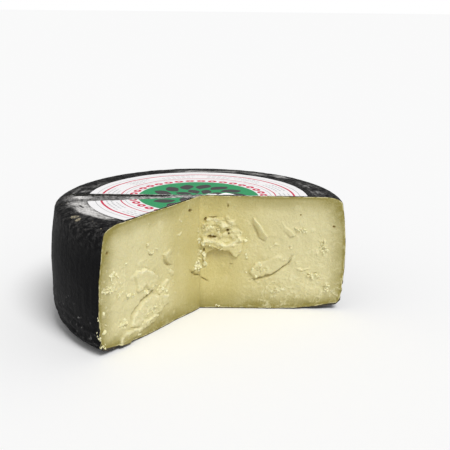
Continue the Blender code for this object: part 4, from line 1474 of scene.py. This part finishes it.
def scatter(kinds, place, share, draw):
    """Copies of the crumb kinds over one of the places where crumbs stick."""
    side, centre, reach, turn, number = place
    face, relief = (half_face, half_relief) if side == "half" else (slice_face, slice_relief)
    count = max(1, round(share * number))
    far, over = reach[0] * draw.normal(0.0, 0.6, count), reach[1] * draw.normal(0.0, 0.6, count)
    out_by, up_by = rotated(far, over, -math.radians(turn))
    u = np.maximum(centre[0] + out_by, 0.8)
    z = np.clip(centre[1] + up_by, 1.2, 80.0)
    rim = side_radius(z * MM) / MM
    u = np.where(side == "corner", rim + 0.15, np.minimum(u, rim - 0.5))
    height = np.where(side == "corner", -abs(centre[0] + far), relief(u, z).height)
    along, out = face((z + CRAG_LEVEL / MM) * MM)
    copies = []
    for n in range(count):
        size = MM * draw.choice(CRUMB_SIZES, p=CRUMB_SHARES) * draw.uniform(0.8, 1.25)
        kind = kinds[int(draw.integers(len(kinds)))]
        spot = Vector(along[n]) * u[n] * MM + Vector(out[n]) * (height[n] * MM + 0.10 * size)
        spot += Vector((0.0, AXIS_Y, z[n] * MM + CRAG_LEVEL))
        tilt = Euler((draw.normal(0.0, 0.5), draw.normal(0.0, 0.5), draw.uniform(0.0, 6.28))).to_matrix()
        copies.append(copy_crumb(kind, spot, Vector(out[n]), size, tilt))
    return copies


class PECORINO_OT_crumbs(bpy.types.Operator):
    """Scatters crumbs and curled flakes on the cut faces"""
    bl_idname = "pecorino.crumbs"
    bl_label = "Crumbs"

    def execute(self, context):
        kinds = crumb_kinds(CRUMB_KINDS)
        draw = np.random.default_rng(CRUMB_SEED)
        copies = []
        for place in CRUMB_PLACES:
            copies += scatter(kinds, place, context.scene.pecorino_sizes.crumbs, draw)
        for kind in kinds:
            bpy.data.objects.remove(kind)
        bpy.ops.object.select_all(action='DESELECT')
        for copy in copies:
            copy.select_set(True)
        context.view_layer.objects.active = copies[0]
        bpy.ops.object.join()
        whole = context.view_layer.objects.active
        whole.name = "crumbs"
        whole.data.materials.append(bpy.data.materials["crumb paste"])
        finish_piece(whole, SMOOTH_CRUMBS)
        return {'FINISHED'}


class PECORINO_OT_finishes(bpy.types.Operator):
    """Builds the materials of the paste, the rind, the label and the crumbs"""
    bl_idname = "pecorino.finishes"
    bl_label = "Finishes"

    def execute(self, context):
        colours = context.scene.pecorino_colours
        rind_finish("black rind", colours)
        paste_finish("half paste", colours, colours.paste_shaded_middle)
        paste_finish("slice paste", colours, [SLICE_PAINTED_SHADE * part for part in colours.paste_shaded_middle])
        label_finish("printed paper", colours)
        crumb_finish("crumb paste", colours)
        return {'FINISHED'}


def lay_floor(colour):
    """A plain round floor just under the cheese."""
    floor = add(bpy.ops.mesh.primitive_circle_add, "floor", vertices=64, radius=FLOOR_RADIUS,
                fill_type='NGON', location=(0.0, 0.0, FLOOR_LEVEL))
    pale = bpy.data.materials.new("pale floor")
    pale.use_nodes = True
    shader = pale.node_tree.nodes["Principled BSDF"]
    shader.inputs["Base Color"].default_value = (*colour, 1.0)
    shader.inputs["Roughness"].default_value = 0.9
    shader.inputs["Specular IOR Level"].default_value = 0.0
    floor.data.materials.append(pale)


def light_up(scene):
    """A surround that looks white and lights more weakly than it looks, and one large lamp."""
    world = bpy.data.worlds.new("studio")
    world.use_nodes = True
    tree = world.node_tree
    sky = tree.nodes["Background"]
    sky.inputs["Color"].default_value = (1.0, 1.0, 1.0, 1.0)
    seen = tree.nodes.new("ShaderNodeLightPath")
    strength = tree.nodes.new("ShaderNodeMapRange")
    strength.inputs["To Min"].default_value = SKY_STRENGTH
    strength.inputs["To Max"].default_value = 1.0
    tree.links.new(seen.outputs["Is Camera Ray"], strength.inputs["Value"])
    tree.links.new(strength.outputs["Result"], sky.inputs["Strength"])
    scene.world = world
    key = bpy.data.lights.new("key", 'SUN')
    key.energy = KEY_STRENGTH
    key.angle = KEY_SOFTNESS
    lamp = bpy.data.objects.new("key", key)
    lamp.rotation_euler = KEY_FROM.to_track_quat('Z', 'Y').to_euler()
    scene.collection.objects.link(lamp)


def place_camera(scene):
    """The photograph's camera, rolled a little about its own line of sight."""
    back = (CAMERA_PLACE - CAMERA_TARGET).normalized()
    right = Vector((0.0, 0.0, 1.0)).cross(back).normalized()
    up = back.cross(right)
    rolled_right = right * math.cos(CAMERA_ROLL) + up * math.sin(CAMERA_ROLL)
    rolled_up = up * math.cos(CAMERA_ROLL) - right * math.sin(CAMERA_ROLL)
    lens = bpy.data.cameras.new("camera")
    lens.sensor_width = SENSOR
    lens.lens = CAMERA_LENS
    lens.clip_start = 0.01
    holder = bpy.data.objects.new("camera", lens)
    turned = Matrix((rolled_right, rolled_up, back)).transposed()
    holder.matrix_world = Matrix.Translation(CAMERA_PLACE) @ turned.to_4x4()
    scene.collection.objects.link(holder)
    scene.camera = holder


class PECORINO_OT_stage(bpy.types.Operator):
    """Sets up the floor, the light and the camera"""
    bl_idname = "pecorino.stage"
    bl_label = "Stage"

    def execute(self, context):
        scene = context.scene
        lay_floor(scene.pecorino_colours.stage)
        light_up(scene)
        place_camera(scene)
        scene.view_settings.view_transform = 'Standard'
        return {'FINISHED'}


class PECORINO_PT_panel(bpy.types.Panel):
    """Lists the steps of the cheese wheel and what they can be given"""
    bl_idname = "PECORINO_PT_panel"
    bl_label = "Cut pecorino wheel"
    bl_space_type = 'VIEW_3D'
    bl_region_type = 'UI'
    bl_category = "Pecorino"

    def draw(self, context):
        for operator in STEPS:
            self.layout.operator(operator.bl_idname)
        for group in (context.scene.pecorino_sizes, context.scene.pecorino_colours):
            for name in type(group).__annotations__:
                self.layout.prop(group, name)


STEPS = (PECORINO_OT_finishes, PECORINO_OT_half, PECORINO_OT_slice, PECORINO_OT_label, PECORINO_OT_crumbs,
         PECORINO_OT_stage)
CLASSES = (PecorinoSizes, PecorinoColours, *STEPS, PECORINO_PT_panel)


def register():
    for kind in CLASSES:
        bpy.utils.register_class(kind)
    bpy.types.Scene.pecorino_sizes = PointerProperty(type=PecorinoSizes)
    bpy.types.Scene.pecorino_colours = PointerProperty(type=PecorinoColours)


def unregister():
    del bpy.types.Scene.pecorino_sizes
    del bpy.types.Scene.pecorino_colours
    for kind in reversed(CLASSES):
        bpy.utils.unregister_class(kind)


def main():
    register()
    bpy.ops.pecorino.finishes()
    bpy.ops.pecorino.half()
    bpy.ops.pecorino.slice()
    bpy.ops.pecorino.label()
    bpy.ops.pecorino.crumbs()
    bpy.ops.pecorino.stage()


if __name__ == "__main__":
    main()
